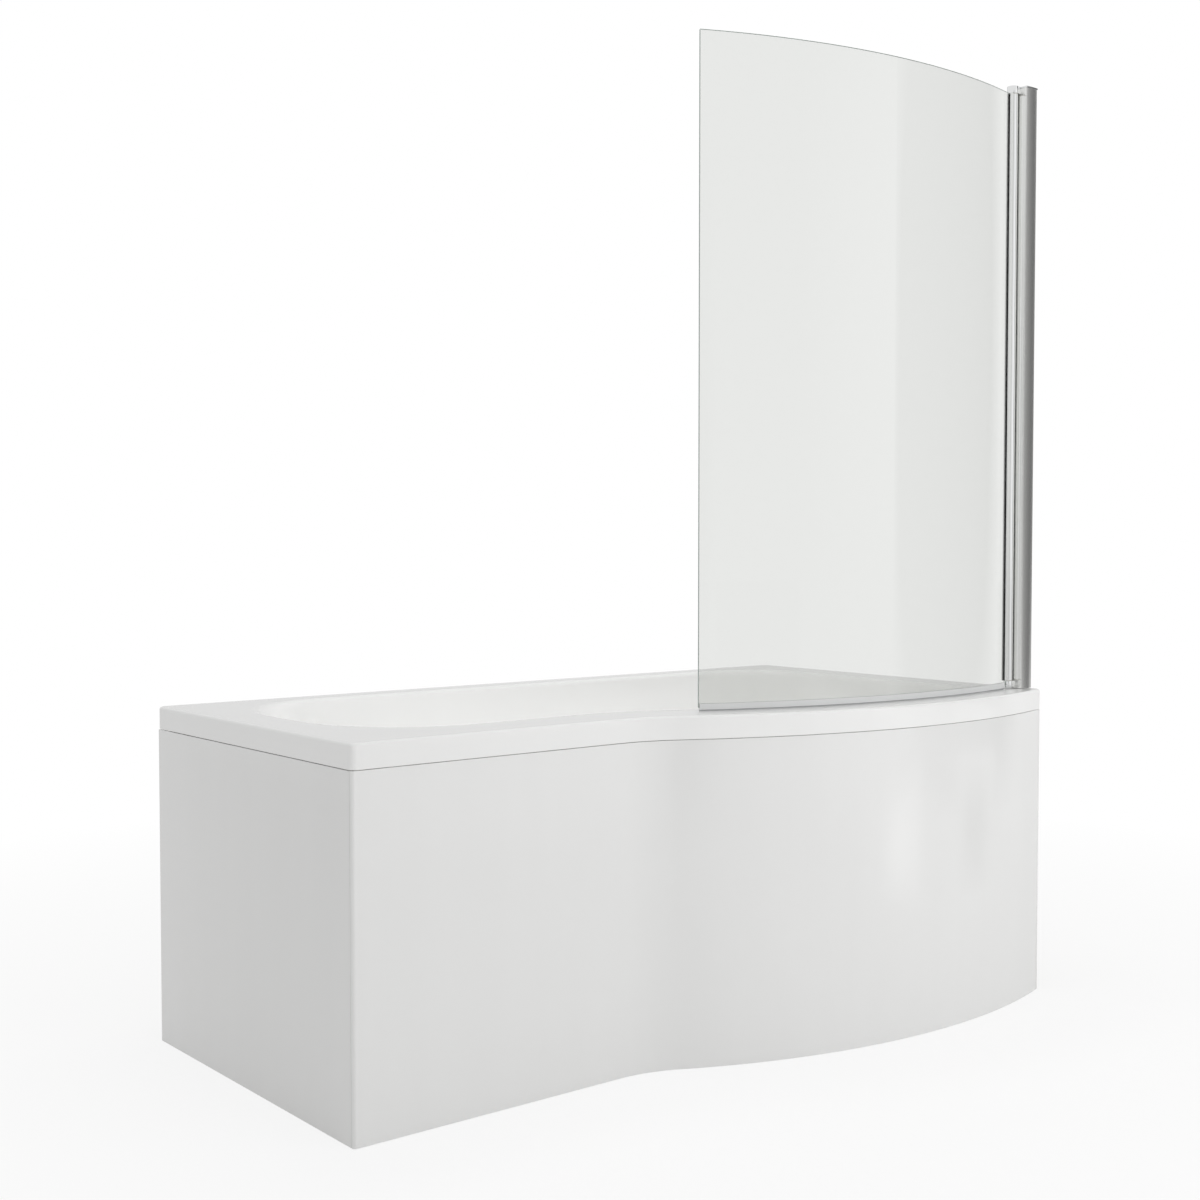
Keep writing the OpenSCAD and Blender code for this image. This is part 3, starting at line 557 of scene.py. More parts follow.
def at_height(plan, z):
    """The points of a plan at one height."""
    return np.column_stack([plan, np.full(len(plan), z)])


def bowl_ring(z, lip, wall):
    """The bowl's plan at a height."""
    down = (HEIGHT - z) / DEPTH
    insets = [LEDGE[side] + lean(z, side, lip, wall) for side in LEDGE]
    return at_height(outline(*insets, *(CORNER - CORNER_LESS * down + wall)), z)


def bowl_edge(out):
    """The bowl's plan on the rim, a distance outside its lip."""
    return at_height(outline(*(ledge - out for ledge in LEDGE.values()), *(CORNER + out)), HEIGHT)


def rim_ring(inset, z):
    """The rim's plan, set in by the same distance all round."""
    return at_height(outline(inset, inset, inset, inset, 10, 10), z)


# %% Loft the shell
EDGE = 5.0
quarter = np.radians(np.linspace(0, 90, 9))
low_walls = FLOOR + 125 * (1 - np.cos(np.radians(np.linspace(88, 0, 30))))
wall_heights = [574, 555, 530, 500, 465, 430, 395, 360, 335]
face_rings = [rim_ring(1.5, FACE_LOW), rim_ring(0.4, FACE_LOW + 0.4), rim_ring(0, FACE_LOW + 1.5)]
# A ring close beside each rounded edge keeps the flat face next to it flat in the light.
face_rings += [rim_ring(0, FACE_LOW + 3), rim_ring(0, HEIGHT - EDGE - 1.5)]
face_rings += [rim_ring(EDGE - EDGE * math.cos(a), HEIGHT - EDGE + EDGE * math.sin(a)) for a in quarter]
face_rings += [rim_ring(EDGE + 1.5, HEIGHT), bowl_edge(1.5)]
face_rings += [bowl_ring(LIP_Z + LIP * math.cos(a), LIP, 0) for a in quarter]
face_rings += [bowl_ring(z, LIP, 0) for z in [*wall_heights, *low_walls]]
back_rings = [rim_ring(SHELL, FACE_LOW), rim_ring(SHELL, HEIGHT - SHELL)]
back_rings += [bowl_ring(LIP_Z + (LIP - SHELL) * math.cos(a), LIP - SHELL, SHELL) for a in quarter]
back_rings += [bowl_ring(z, LIP - SHELL, SHELL) for z in [*wall_heights, *(low_walls - SHELL)]]
rings = back_rings[::-1] + face_rings
columns = len(rings[0])
points = np.concatenate(rings + [[(975, 300, FLOOR - SHELL), (975, 300, FLOOR)]])
faces = grid_faces(len(rings), columns, close_columns=True)
# The first rows of faces lie between the rings of the sheet's back, so they get the sprayed finish.
sprayed = (len(back_rings) - 2) * columns
slots = [1] * sprayed + [0] * (len(faces) - sprayed) + [1, 0] * columns
last = (len(rings) - 1) * columns
for c in range(columns):
    faces.append([(c + 1) % columns, c, len(points) - 2])
    faces.append([last + c, last + (c + 1) % columns, len(points) - 1])
shell = piece("bath_shell", points, faces, acrylic, strand_back, slots=slots)
print("rings", len(rings), "of", columns, "points;", sum(slots), "faces on the sprayed back")

# %% [markdown]
# The waste and the overflow pass through holes drilled in the sheet. A boolean with a plug the size of the
# drill is the plain way, and it leaves the finish of every other face alone.

# %% Drill the shell
OVER_Z = HEIGHT - 85
OVER = (LENGTH - LEDGE["right"] - lean(OVER_Z, "right", LIP, 0), WASTE[1], OVER_Z)
over_turn = rotation(-84, "Y")
for radius, origin, turn in [(25, WASTE, None), (24, OVER, over_turn)]:
    drill = lathe([(0, -20), (radius, -20), (radius, 20), (0, 20)], 64, closed=False)
    shell = cut_away(shell, piece("drill", *moved(drill, origin, turn)))
dress(shell, "bath", "white_acrylic", "bath_tub")

# %% [markdown]
# ## The panels
# The front panel is one sheet, 5 mm thick, that follows the straight front, a hollow curve and then the
# wide curve, and turns the corner at the narrow end. A sheet pressed this way keeps its plan all the way
# up, so the plan is drawn once and pushed up. Behind its top edge a bar and a thin tongue lock under the
# rim. The end panel is flat and meets the turned corner in a narrow joint.

# %% Draw the front's line


def front_y(x):
    """The front edge of the bath, on the straight or on the wide curve."""
    if x <= START:
        return 0.0
    return PEAK_Y - math.sqrt(R_OUT ** 2 - (x - PEAK) ** 2)


def front_line(d, x0, a1):
    """The front of the bath, set in by a distance, from an x to an angle round the wide curve."""
    return [(x0, d), (x0 + 4, d), (START - 6, d), *arc(START, -R_IN, R_IN + d, 90, 90 - TURN, 18),
            *arc(PEAK, PEAK_Y, R_OUT - d, -90 - TURN * 0.985, -90 + a1, 70)]


def strip(d0, d1, x0, a1):
    """A closed plan between two lines that follow the front."""
    return front_line(d0, x0, a1) + front_line(d1, x0, a1)[::-1]


def oblong(x0, x1, y0, y1):
    """A four-cornered plan."""
    return [(x0, y0), (x1, y0), (x1, y1), (x0, y1)]


# %% Press the panels
FRONT_GAP = 0.75
END_GAP = 1.2
PANEL_A = END_A - 0.06


def panel(name, node, gap, sheet, bar, tongue):
    """A sheet with a bar and a tongue behind its top edge, from their three plans."""
    made = piece(name, *joined(
        prism([sheet], 1, FACE_LOW - gap),
        prism([bar], FACE_LOW - 17.5, FACE_LOW - 3.3),
        prism([tongue], FACE_LOW - 7.5, FACE_LOW + 25.5)), panel_white)
    dress(soft_edges(made, 0.5), "bath", "white_panel", node)


corner = [(1, 8.5), *arc(6, 6, 5, 180, 270, 10)]
front = [*corner, *front_line(1, 7, PANEL_A), *front_line(6, 7, PANEL_A)[::-1], (6, 6), (6, 8.5)]
panel("panel_front", "front_panel", FRONT_GAP, front,
      strip(2, 9.5, 30, PANEL_A - 0.3), strip(6.5, 9.5, 30, PANEL_A - 0.3))
panel("panel_end", "end_panel", END_GAP, oblong(1, 6, 9.3, WIDTH - 1),
      oblong(2, 9.5, 40, WIDTH - 40), oblong(6.5, 9.5, 40, WIDTH - 40))

# %% [markdown]
# ## The screen's glass and its seals
# The glass is part of a cylinder: an arc in plan, the same at every height. That is a rule, so Geometry
# Nodes make it: an arc is drawn from its radius and angles, and a profile is swept along it. The same
# tree sweeps the clear seal that is pushed on the bottom edge, and the soft lip that wipes the rim.

# %% A tree that sweeps a profile round an arc


def new_tree(name, *sizes, **others):
    """A geometry tree with inputs for its sizes, for other kinds of value and for its material."""
    tree = bpy.data.node_groups.new(name, "GeometryNodeTree")
    for way in ("INPUT", "OUTPUT"):
        tree.interface.new_socket("Geometry", in_out=way, socket_type="NodeSocketGeometry")
    for label, kind in {**dict.fromkeys(sizes, "Float"), **others, "Material": "Material"}.items():
        tree.interface.new_socket(label, in_out="INPUT", socket_type="NodeSocket" + kind)
    return tree, tree.nodes.new("NodeGroupInput").outputs


def end_tree(tree, inp, geometry):
    """Ends a tree in real meshes with their material."""
    real = add(tree, "GeometryNodeRealizeInstances", {0: geometry})
    done = add(tree, "GeometryNodeSetMaterial", {0: real.outputs[0], "Material": inp["Material"]})
    add(tree, "NodeGroupOutput", {0: done.outputs[0]})


def grow(obj, tree, sizes, angle=32.0):
    """Runs a tree on an object with its named inputs set, and leaves a plain mesh."""
    made = obj.modifiers.new(tree.name, "NODES")
    made.node_group = tree
    for item in tree.interface.items_tree:
        if item.in_out == "INPUT" and item.name in sizes:
            made[item.identifier] = sizes[item.name]
    return settle(obj, angle)


def drawn(name, line, closed=True):
    """A curve object from 2-D or 3-D points, in metres, at the origin."""
    data = bpy.data.curves.new(name, "CURVE")
    data.dimensions = "3D"
    spline = data.splines.new("POLY")
    spline.points.add(len(line) - 1)
    for point, p in zip(spline.points, line):
        point.co = (*p, *(0.0,) * (3 - len(p)), 1.0)
    spline.use_cyclic_u = closed
    return new_object(name, data)


def circle(tree, radius, steps):
    """A circle to sweep along a line."""
    inputs = {"Resolution": steps, "Radius": radius}
    return add(tree, "GeometryNodeCurvePrimitiveCircle", inputs, mode="RADIUS").outputs[0]


def swept_mesh(tree, path, section):
    """A section swept along a path, its ends closed."""
    inputs = {"Curve": path, "Profile Curve": section, "Fill Caps": True}
    return add(tree, "GeometryNodeCurveToMesh", inputs).outputs[0]


sweep, inp = new_tree("Sweep round an arc", "Radius", "Start", "Turn", Centre="Vector", Steps="Int")
bow = add(sweep, "GeometryNodeCurveArc", {
    "Resolution": inp["Steps"], "Radius": inp["Radius"], "Start Angle": inp["Start"],
    "Sweep Angle": inp["Turn"]}, mode="RADIUS")
level = add(sweep, "GeometryNodeSetCurveNormal", {0: bow.outputs[0]}, mode="Z_UP")
there = add(sweep, "GeometryNodeTransform", {0: level.outputs[0], "Translation": inp["Centre"]})
end_tree(sweep, inp, swept_mesh(sweep, there.outputs[0], inp["Geometry"]))

# %% [markdown]
# The glass runs from the hinge's axis to a free end that stands a little way in from the front edge. Those
# two points and the height of the bow between them fix the cylinder. A face of the glass looks straight
# out from the middle of the cylinder, and a ground edge doesn't, which is how the edges are found.

# %% Bend the glass
GLASS_T = 6.0
GLASS_LOW = 606.0
GLASS_HIGH = 1760.0
GLASS_END = 692.0
GLASS_IN = 76.0
GLASS_BOW = 66.0
end = np.array([GLASS_END, front_y(GLASS_END) + GLASS_IN])
axis = np.array(AXIS)
chord = np.linalg.norm(axis - end)
BOW_R = (chord ** 2 / 4 + GLASS_BOW ** 2) / (2 * GLASS_BOW)
half = math.asin(chord / 2 / BOW_R)
chord_a = math.atan2(end[1] - axis[1], end[0] - axis[0])
bow_c = (end + axis) / 2 - (BOW_R - GLASS_BOW) * np.array([-math.sin(chord_a), math.cos(chord_a)])
first_a = math.atan2(end[1] - bow_c[1], end[0] - bow_c[0])
glass_c = metres([(*bow_c, 0)])[0]
print("glass radius", round(BOW_R), "mm over", round(math.degrees(2 * half), 1), "degrees")


def swept(name, profile, from_bar, from_end, material):
    """A profile of (distance out from the glass's middle, height) swept along the glass."""
    a_end = from_end / BOW_R
    line = drawn(name, [(x / 1000, -z / 1000) for x, z in profile])
    # The shading angle is smaller than the first step of a rounded edge, so the faces stay flat.
    return grow(line, sweep, {
        "Radius": BOW_R / 1000, "Start": first_a + a_end, "Turn": 2 * half - a_end - from_bar / BOW_R,
        "Centre": glass_c, "Steps": 72, "Material": material}, 5)


face = GLASS_T / 2
pane = swept("glass_sheet", soften(oblong(-face, face, GLASS_LOW, GLASS_HIGH), 1.1, n=3), 12.8, 0, glass)
pane.data.materials.append(glass_edge)
for poly in pane.data.polygons:
    outward = (poly.center.xy - Vector(glass_c[:2])).normalized()
    if abs(outward.dot(poly.normal.xy)) < 0.9:
        poly.material_index = 1
pane.visible_shadow = False
dress(pane, "screen", "clear_glass", "glass_pane")
print("polished edge faces", sum(poly.material_index for poly in pane.data.polygons))

# %% Push on the seal and the wiping lip
w = face + 1.8
n = face + 0.2
seal_line = [(-w, 602.6), (w, 602.6), (w, 613), (n, 613), (n, 605.8), (-n, 605.8), (-n, 613), (-w, 613)]
seal = swept("seal_strip", soften(seal_line, 0.5, n=2), 24, 1, seal_clear)
dress(seal, "screen", "clear_seal", "bottom_seal")
lip = swept("wiping_lip", soften(oblong(0.5, 3.5, 600.4, 602.4), 0.5, n=2), 24, 1, lip_grey)
dress(lip, "screen", "clear_seal", "wiper_lip")

# %% [markdown]
# ## The hinge
# A round bar carries the glass in a slotted fin, held by a rubber-like gasket, and turns on pins in two
# short blocks. The bar is an extrusion, so its section is drawn once: a circle with a fin to one side.
# The blocks are cast, with a round end about the pin and a flat arm to the wall profile.

# %% Draw the bar's section
BAR_R = 10.0
BLOCK_LOW = 601.5
BLOCK_HIGH = 1762.9
GLASS_A = math.degrees(chord_a + half) - 1


def turned(points, degrees, origin):
    """2-D points turned and moved in plan."""
    a = math.radians(degrees)
    p = np.asarray(points, float)
    return np.stack([origin[0] + p[:, 0] * math.cos(a) - p[:, 1] * math.sin(a),
                     origin[1] + p[:, 0] * math.sin(a) + p[:, 1] * math.cos(a)], 1)


fin = (GLASS_T + 6.4) / 2
slot = (GLASS_T + 3) / 2
leave = math.degrees(math.asin(fin / BAR_R))
section = [*arc(0, 0, BAR_R, leave, 360 - leave, 56),
           *soften([(21.9, -fin), (22, -slot)], 0.4, False), (11.2, -slot), (11.2, slot),
           *soften([(22, slot), (21.9, fin)], 0.4, False)]
plans = [turned(section, GLASS_A, AXIS), turned(arc(0, 0, 7, 0, 352, 44), 0, AXIS)]
bar = piece("hinge_bar", *prism(plans, 617, 1761.5), chrome)
dress(soft_edges(bar, 0.3, 2), "screen", "chrome", "pivot_bar")

# %% Cast the blocks


def hinge_block(name, z, node):
    """A round-ended block with the pin's hole; its flat arm reaches the wall profile."""
    plan = [(11.9, -10), (11.9, 6), *arc(0, 0, 11, math.degrees(math.asin(6 / 11)), 360 - 66, 40)]
    hole = arc(0, 0, 4.03, 0, 348, 30)
    made = piece(name, *prism([turned(plan, 0, AXIS), turned(hole, 0, AXIS)], z, z + 14), chrome)
    dress(soft_edges(made, 0.6), "bath", "chrome", node)


hinge_block("hinge_block_bottom", BLOCK_LOW, "pivot_block_bottom")
hinge_block("hinge_block_top", BLOCK_HIGH, "pivot_block_top")

# %% [markdown]
# A small socket screw in the bottom block locks the pin. Its head is the dark dot that faces the room.
# It is a short round bar with a six-sided hollow at its end.

# %% The grub screw
ring = arc(0, 0, 2, 0, 345, 23)
socket = arc(0, 0, 1.1, 0, 300, 5)
grub = moved(joined(prism([ring], 4.2, 8.4), prism([ring, socket], 8.4, 10.2)),
             (*AXIS, BLOCK_LOW + 7), rotation(38, "Z") @ rotation(-90, "Y"))
dress(piece("grub", *grub, rubber), "bath", "black_rubber", "grub_screw")

# %% [markdown]
# ## The wall profile
# A channel is screwed to the wall, and a second profile slides over it and is locked when the glass stands
# upright. Both are extrusions, so they are plans pushed up. The outer one's front is bowed a little, which
# is what spreads the reflections into soft bands, and a cap closes its top.

# %% Extrude the profile and cap it
PROFILE_X = LENGTH - 35
PROFILE_Y = END_Y + 21
PROFILE_D = 30.0
BOW = 1.2
FRONT = 16.0
bow_face = (FRONT ** 2 + BOW ** 2) / (2 * BOW)
bow_end = math.degrees(math.asin(FRONT / bow_face))
bowed = arc(PROFILE_X + FRONT, PROFILE_Y + bow_face, bow_face, -90 - bow_end, -90 + bow_end, 24)
far_x = PROFILE_X + 2 * FRONT
back_y = PROFILE_Y + PROFILE_D
inner = oblong(far_x, PROFILE_X + 2, PROFILE_Y + BOW + 0.9, back_y - 2)
arms = soften([*inner, (far_x, back_y), (PROFILE_X, back_y), bowed[0]], 0.7, False, 3)
profile = piece("wall_profile", *prism([[*arms[:-1], *bowed]], 600.6, 1773), aluminium)
dress(shade(profile, 20), "bath", "aluminium", "adjuster_profile")


def block(x0, x1, y0, y1, z0, z1):
    """A box between corners."""
    return prism([oblong(x0, x1, y0, y1)], z0, z1)


cap = piece("wall_profile_cap", *joined(
    block(PROFILE_X, LENGTH, PROFILE_Y, back_y, 1773.2, 1777),
    block(PROFILE_X + 5, PROFILE_X + 19, PROFILE_Y + 5, PROFILE_Y + 25, 1767, 1773.3)), chrome)
dress(soft_edges(cap, 0.8), "bath", "chrome", "profile_cap")

# %% [markdown]
# ## The waste, the plug and the overflow
# These are turned parts, so each is a profile spun about its own axis. The flange is dished towards the
# drain, the plug is a shallow mushroom on a stem, and the overflow has a thick round face with a gap below
# it for the water.

# %% Turn the bright parts


def turn_piece(name, node, profile, origin, ease, material=chrome, on="bath", slot="chrome", turn=None):
    """A turned piece on an axis, its corners eased, riding on a body."""
    made = moved(lathe(profile, 96, profile[0][0] > 0, ease, 3), origin, turn)
    dress(piece(name, *made, material), on, slot, node)


def over_waste(z):
    """The point on the waste's axis at a height above the bowl's floor."""
    return WASTE[0], WASTE[1], FLOOR + z


turn_piece("waste_rim", "waste_flange", [(20.5, -22), (24, -22), (24, 0.3), (35, 0.3), (35, 1.3), (33.5, 2.6),
                                         (25, 1.8), (22.5, 0), (20.5, -2)], WASTE, 0.5)
turn_piece("plug_top", "plug_cap", [(0, 0), (28, 0), (31, 2), (31, 3.5), (29, 5.5), (20, 6.8), (0, 7.5)],
           over_waste(11.5), 1.5, on="plug")
turn_piece("plug_ring", "plug_seal", [(21, 0.6), (25, 0), (27.5, 0.9), (27.5, 1.8), (21, 1.8)],
           over_waste(9.6), 0.3, rubber, "plug", "black_rubber")
turn_piece("overflow_face", "overflow_faceplate", [
    (23.4, -1), (23.4, 0.4), (34, 0.4), (34, 6), (32, 8.5), (0.01, 10), (0.01, 8), (31, 6.6), (32, 5.5),
    (32, 2), (20, 2), (20, -1)], OVER, 1.0, turn=over_turn)

# %% Mould the black parts
DROP_X = OVER[0] + 29.5
SPIGOT_Z = FLOOR - 45
to_right = rotation(90, "Y")
cup_line = [(20.5, -103), (23.9, -103), (23.9, -71), (30, -67), (30, -25), (36, -19), (36, -8.4),
            (24.1, -8.4), (24.1, -24), (26, -27), (26, -63), (20.5, -67)]
pipe = lathe([(10, 27.5), (13, 27.5), (13, 58), (10, 58)], 48, ease=0.6)
parts = joined(moved(lathe(cup_line, 96, ease=1.0, n=3), WASTE), moved(pipe, over_waste(-45), to_right))
dress(piece("waste_cup", *parts, black_pp), "bath", "black_plastic", "waste_body")

back_line = [(0.01, -38), (24, -38), (24, -13), (32, -12), (32, -8.4), (23.4, -8.4), (23.4, -1.3),
             (20, -1.3), (20, -35), (0.01, -35)]
pipe = lathe([(10, -62), (13, -62), (13, -10), (10, -10)], 48, ease=0.6)
parts = joined(moved(lathe(back_line, 72, ease=0.8), OVER, over_turn),
               moved(pipe, (DROP_X, WASTE[1], OVER_Z)))
dress(piece("overflow_back", *parts, black_pp), "bath", "black_plastic", "overflow_elbow")

# %% [markdown]
# ## The overflow hose
# The hose is corrugated so that it bends without closing. Geometry Nodes fit that well: a path is drawn,
# its radius rises and falls along its length, and a circle is swept along it. The ends are left plain
# where the hose is pushed on and clipped.

# %% A tree for a corrugated hose
ribbed, inp = new_tree("Corrugated hose", "Radius", "Rib height", "Rib spacing", "Plain end", "Step")
fine = add(ribbed, "GeometryNodeResampleCurve", {"Curve": inp["Geometry"], "Length": inp["Step"]},
           mode="LENGTH")
along = add(ribbed, "GeometryNodeSplineParameter").outputs["Length"]
total = add(ribbed, "GeometryNodeSplineLength").outputs[0]
ribs = maths(ribbed, "DIVIDE", along, inp["Rib spacing"])
rise = maths(ribbed, "SINE", maths(ribbed, "MULTIPLY", ribs, 2 * math.pi))
past = maths(ribbed, "GREATER_THAN", along, inp["Plain end"])
before = maths(ribbed, "GREATER_THAN", maths(ribbed, "SUBTRACT", total, along), inp["Plain end"])
wave = maths(ribbed, "MULTIPLY", rise, maths(ribbed, "MULTIPLY", past, before))
ridge = maths(ribbed, "MULTIPLY_ADD", wave, inp["Rib height"], inp["Radius"])
skin = add(ribbed, "GeometryNodeCurveToMesh", {
    "Curve": fine.outputs[0], "Profile Curve": circle(ribbed, 1.0, 36), "Scale": ridge})
end_tree(ribbed, inp, skin.outputs[0])

# %% Run the hose
BEND = 60.0
path = [(DROP_X, z) for z in np.linspace(OVER_Z - 40, SPIGOT_Z + BEND, 24)]
path += [tuple(p) for p in arc(DROP_X - BEND, SPIGOT_Z + BEND, BEND, -4, -86, 19)]
path += [(x, SPIGOT_Z) for x in np.linspace(DROP_X - BEND, WASTE[0] + 36, 16)]
hose = drawn("hose", metres([(x, WASTE[1], z) for x, z in path]).tolist(), False)
hose = grow(hose, ribbed, {
    "Radius": 0.0148, "Rib height": 0.0007, "Rib spacing": 0.0044, "Plain end": 0.022, "Step": 0.0007,
    "Material": grey_hose}, 60)
thick = hose.modifiers.new("Wall", "SOLIDIFY")
thick.thickness = 0.0011
thick.offset = -1
dress(settle(hose, 60), "bath", "grey_hose", "overflow_hose")

# %% [markdown]
# ## Clips, feet, nuts and screws
# These repeat, so one tree puts a template on points. Each point carries the direction its piece faces.
# The template is made once with its chamfers and its drive, and the tree copies it, turns it and gives it
# its finish.

# %% A tree that repeats a template
repeat, inp = new_tree("Repeat on points", Template="Object")
shape = add(repeat, "GeometryNodeObjectInfo", {"Object": inp["Template"]})
facing = add(repeat, "GeometryNodeInputNamedAttribute", {"Name": "facing"}, data_type="FLOAT_VECTOR")
spin = add(repeat, "FunctionNodeAlignRotationToVector", {"Vector": facing.outputs[0]}, axis="Z")
copies = add(repeat, "GeometryNodeInstanceOnPoints", {
    "Points": inp["Geometry"], "Instance": shape.outputs["Geometry"], "Rotation": spin.outputs[0]})
end_tree(repeat, inp, copies.outputs[0])


def bare_points(name, spots):
    """An object of points only, in metres, for a tree to work on."""
    mesh = bpy.data.meshes.new(name)
    mesh.from_pydata(spots, [], [])
    return new_object(name, mesh)


def template(part):
    """A template about its own origin."""
    return piece("template", *moved(part, MIDDLE))


def repeated(name, node, made, places, material=zinc, slot="zinc_steel"):
    """One piece of a template set at (point, direction) places, riding on the bath."""
    obj = bare_points(name, metres([p for p, d in places]).tolist())
    field = obj.data.attributes.new("facing", "FLOAT_VECTOR", "POINT")
    field.data.foreach_set("vector", [float(v) for p, d in places for v in d])
    obj = grow(obj, repeat, {"Template": made, "Material": material})
    bpy.data.objects.remove(made)
    dress(obj, "bath", slot, node)


# %% Hexagon heads and nuts


def hexagon(radius, height, bore=0.01, below=0.0):
    """A chamfered hexagon about the upright axis, with a bore or room for a washer under it."""
    flat = radius * math.cos(math.radians(30))
    points = []
    for deg in range(0, 360, 10):
        a = math.radians(deg)
        r = flat / math.cos(math.radians(deg % 60 - 30))
        drop = (r - flat) * 0.6
        row = [(bore, below), (r, below + drop), (r, height - drop), (flat - 0.2, height), (bore, height)]
        points += [(out * math.cos(a), out * math.sin(a), z) for out, z in row]
    return points, grid_faces(36, 5, True, True)


UP = (0, 0, 1)
DOWN = (0, 0, -1)
POST_IN = 28.5
RAIL = FLOOR - SHELL - 18.4
FRAME_X = [390.0, WASTE[0] - 95]
posts = [(x, y) for x in FRAME_X for y in (front_y(x) + POST_IN, WIDTH - POST_IN)]
mid = (800.0, 361.0)
nuts = [((x, y, 91.7), UP) for x, y in posts] + [((*mid, RAIL - 32.1), UP)]
repeated("lock_nuts", "foot_nuts", template(hexagon(9.5, 8, 5.05)), nuts)
washer = lathe([(0.01, 0), (6, 0), (6, 0.9), (0.01, 0.9)], 36, ease=0.2)
bolts = []
for x, y in posts:
    out = 1 if y > WIDTH / 2 else -1
    bolts.append(((x, y + 12.6 * out, RAIL - 15), (0, out, 0)))
repeated("frame_bolt_heads", "frame_bolts", template(joined(hexagon(6, 3.9, below=0.9), washer)), bolts)

# %% [markdown]
# The feet stand on threaded studs. A thread is a ridge wound round a core, so a tree winds a spiral and
# sweeps a small triangle along it.

# %% A tree for threaded studs


def wound(tree, radius, rise, turns, steps, section):
    """A section wound into a helix about the upright axis."""
    helix = add(tree, "GeometryNodeCurveSpiral", {
        "Resolution": steps, "Rotations": turns, "Start Radius": radius, "End Radius": radius,
        "Height": rise})
    return swept_mesh(tree, helix.outputs[0], section)


def on_points(tree, inp, shape):
    """Ends a tree in copies of a shape on its points."""
    copies = add(tree, "GeometryNodeInstanceOnPoints", {"Points": inp["Geometry"], "Instance": shape})
    end_tree(tree, inp, copies.outputs[0])


threads, inp = new_tree("Threaded studs", "Radius", "Length", "Pitch")
ridge = wound(threads, maths(threads, "SUBTRACT", inp["Radius"], 0.0008),
              maths(threads, "SUBTRACT", inp["Length"], 0.002),
              maths(threads, "DIVIDE", inp["Length"], inp["Pitch"]), 20, circle(threads, 0.0008, 3))
begun = add(threads, "GeometryNodeTransform", {0: ridge, "Translation": (0, 0, 0.001)})
core = add(threads, "GeometryNodeMeshCylinder", {
    "Vertices": 32, "Radius": maths(threads, "SUBTRACT", inp["Radius"], 0.0006), "Depth": inp["Length"]})
lift = add(threads, "ShaderNodeCombineXYZ", {2: maths(threads, "MULTIPLY", inp["Length"], 0.5)})
raised = add(threads, "GeometryNodeTransform", {0: core.outputs["Mesh"], "Translation": lift.outputs[0]})
stud = add(threads, "GeometryNodeJoinGeometry")
threads.links.new(begun.outputs[0], stud.inputs[0])
threads.links.new(raised.outputs[0], stud.inputs[0])
on_points(threads, inp, stud.outputs[0])

# %% Wind the studs


def studs(name, places, length):
    """Threaded studs standing on points."""
    return grow(bare_points(name, metres(places).tolist()), threads, {
        "Radius": 0.005, "Length": length, "Pitch": 0.0015, "Material": zinc})


at_posts = studs("studs", [(x, y, 4) for x, y in posts], 0.17)
centre = studs("stud_centre", [(*mid, 4)], (RAIL - 5) / 1000)
work = bmesh.new()
work.from_mesh(at_posts.data)
work.from_mesh(centre.data)
work.to_mesh(at_posts.data)
work.free()
bpy.data.objects.remove(centre)
dress(shade(at_posts, 40), "bath", "zinc_steel", "foot_studs")

# %% [markdown]
# ## The plug's spring
# A small spring of steel wire stands round the stem under the plug's cap and lifts the plug again. It is
# wound cold on a mandrel. It is the one piece that changes its shape: it closes up as the plug goes down,
# so it stands on the waste rather than on the plug, and it has a mesh of its own.

# %% Wind the spring
WIRE = 1.8
coiled, inp = new_tree("Wire spring", "Radius", "Wire", "Turns", "Rise")
wire = circle(coiled, inp["Wire"], 12)
on_points(coiled, inp, wound(coiled, inp["Radius"], inp["Rise"], inp["Turns"], 32, wire))
foot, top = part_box("plug_spring")
tall = top.z - foot.z
coil = bare_points("spring_coil", [((foot.x + top.x) / 2, (foot.y + top.y) / 2, foot.z + WIRE / 2000)])
coil = grow(coil, coiled, {
    "Radius": 0.006, "Wire": WIRE / 2000, "Turns": 4.0, "Rise": tall - WIRE / 1000, "Material": zinc})
dress(coil, "bath", "zinc_steel", "plug_spring")
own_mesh(coil)

# %% Feet and worm clips
foot_line = [(0.01, 0), (20.2, 0), (21.2, 1), (21.2, 6), (9, 14), (5.05, 14), (5.05, 4), (0.01, 4)]
feet = [((x, y, 0), UP) for x, y in [*posts, mid]]
repeated("feet", "foot_pads", template(lathe(foot_line, 64, ease=0.8, n=3)), feet, black_pp, "black_plastic")
band = lathe([(15.7, 0), (16.8, 0), (16.8, 8), (15.7, 8)], 64, ease=0.3)
house = prism([soften([(-5, 15.9), (5, 15.9), (4, 21), (-4, 21)], 1.2, n=3)], 0.2, 7.8)
clip = template(joined(band, house, moved(hexagon(3.4, 4.5), (4.5, 19, 4), to_right)))
clips = [((DROP_X, WASTE[1], OVER_Z - 54), UP), ((WASTE[0] + 42, WASTE[1], SPIGOT_Z), (1, 0, 0))]
repeated("worm_clips", "hose_clips", clip, clips)

# %% Pan-head screws


def pan_head(radius, height, shank=0.0, length=0.0):
    """A domed head with a cross recess, its shank pointing down from the origin."""
    parts = [lathe([(0.01, 0), (radius * 0.98, 0), (radius, height * 0.35), (radius * 0.8, height * 0.85),
                    (0.01, height)], 32, ease=0.5)]
    if shank:
        parts.append(lathe([(0.01, -length), (shank * 0.7, -length), (shank, -length + 1), (shank, 0),
                            (0.01, 0)], 20))
    head = template(joined(*parts))
    for x, y in ((radius * 0.45, radius * 0.11), (radius * 0.11, radius * 0.45)):
        head = cut_away(head, template(block(-x, x, -y, y, height * 0.4, height * 1.3)))
    return head


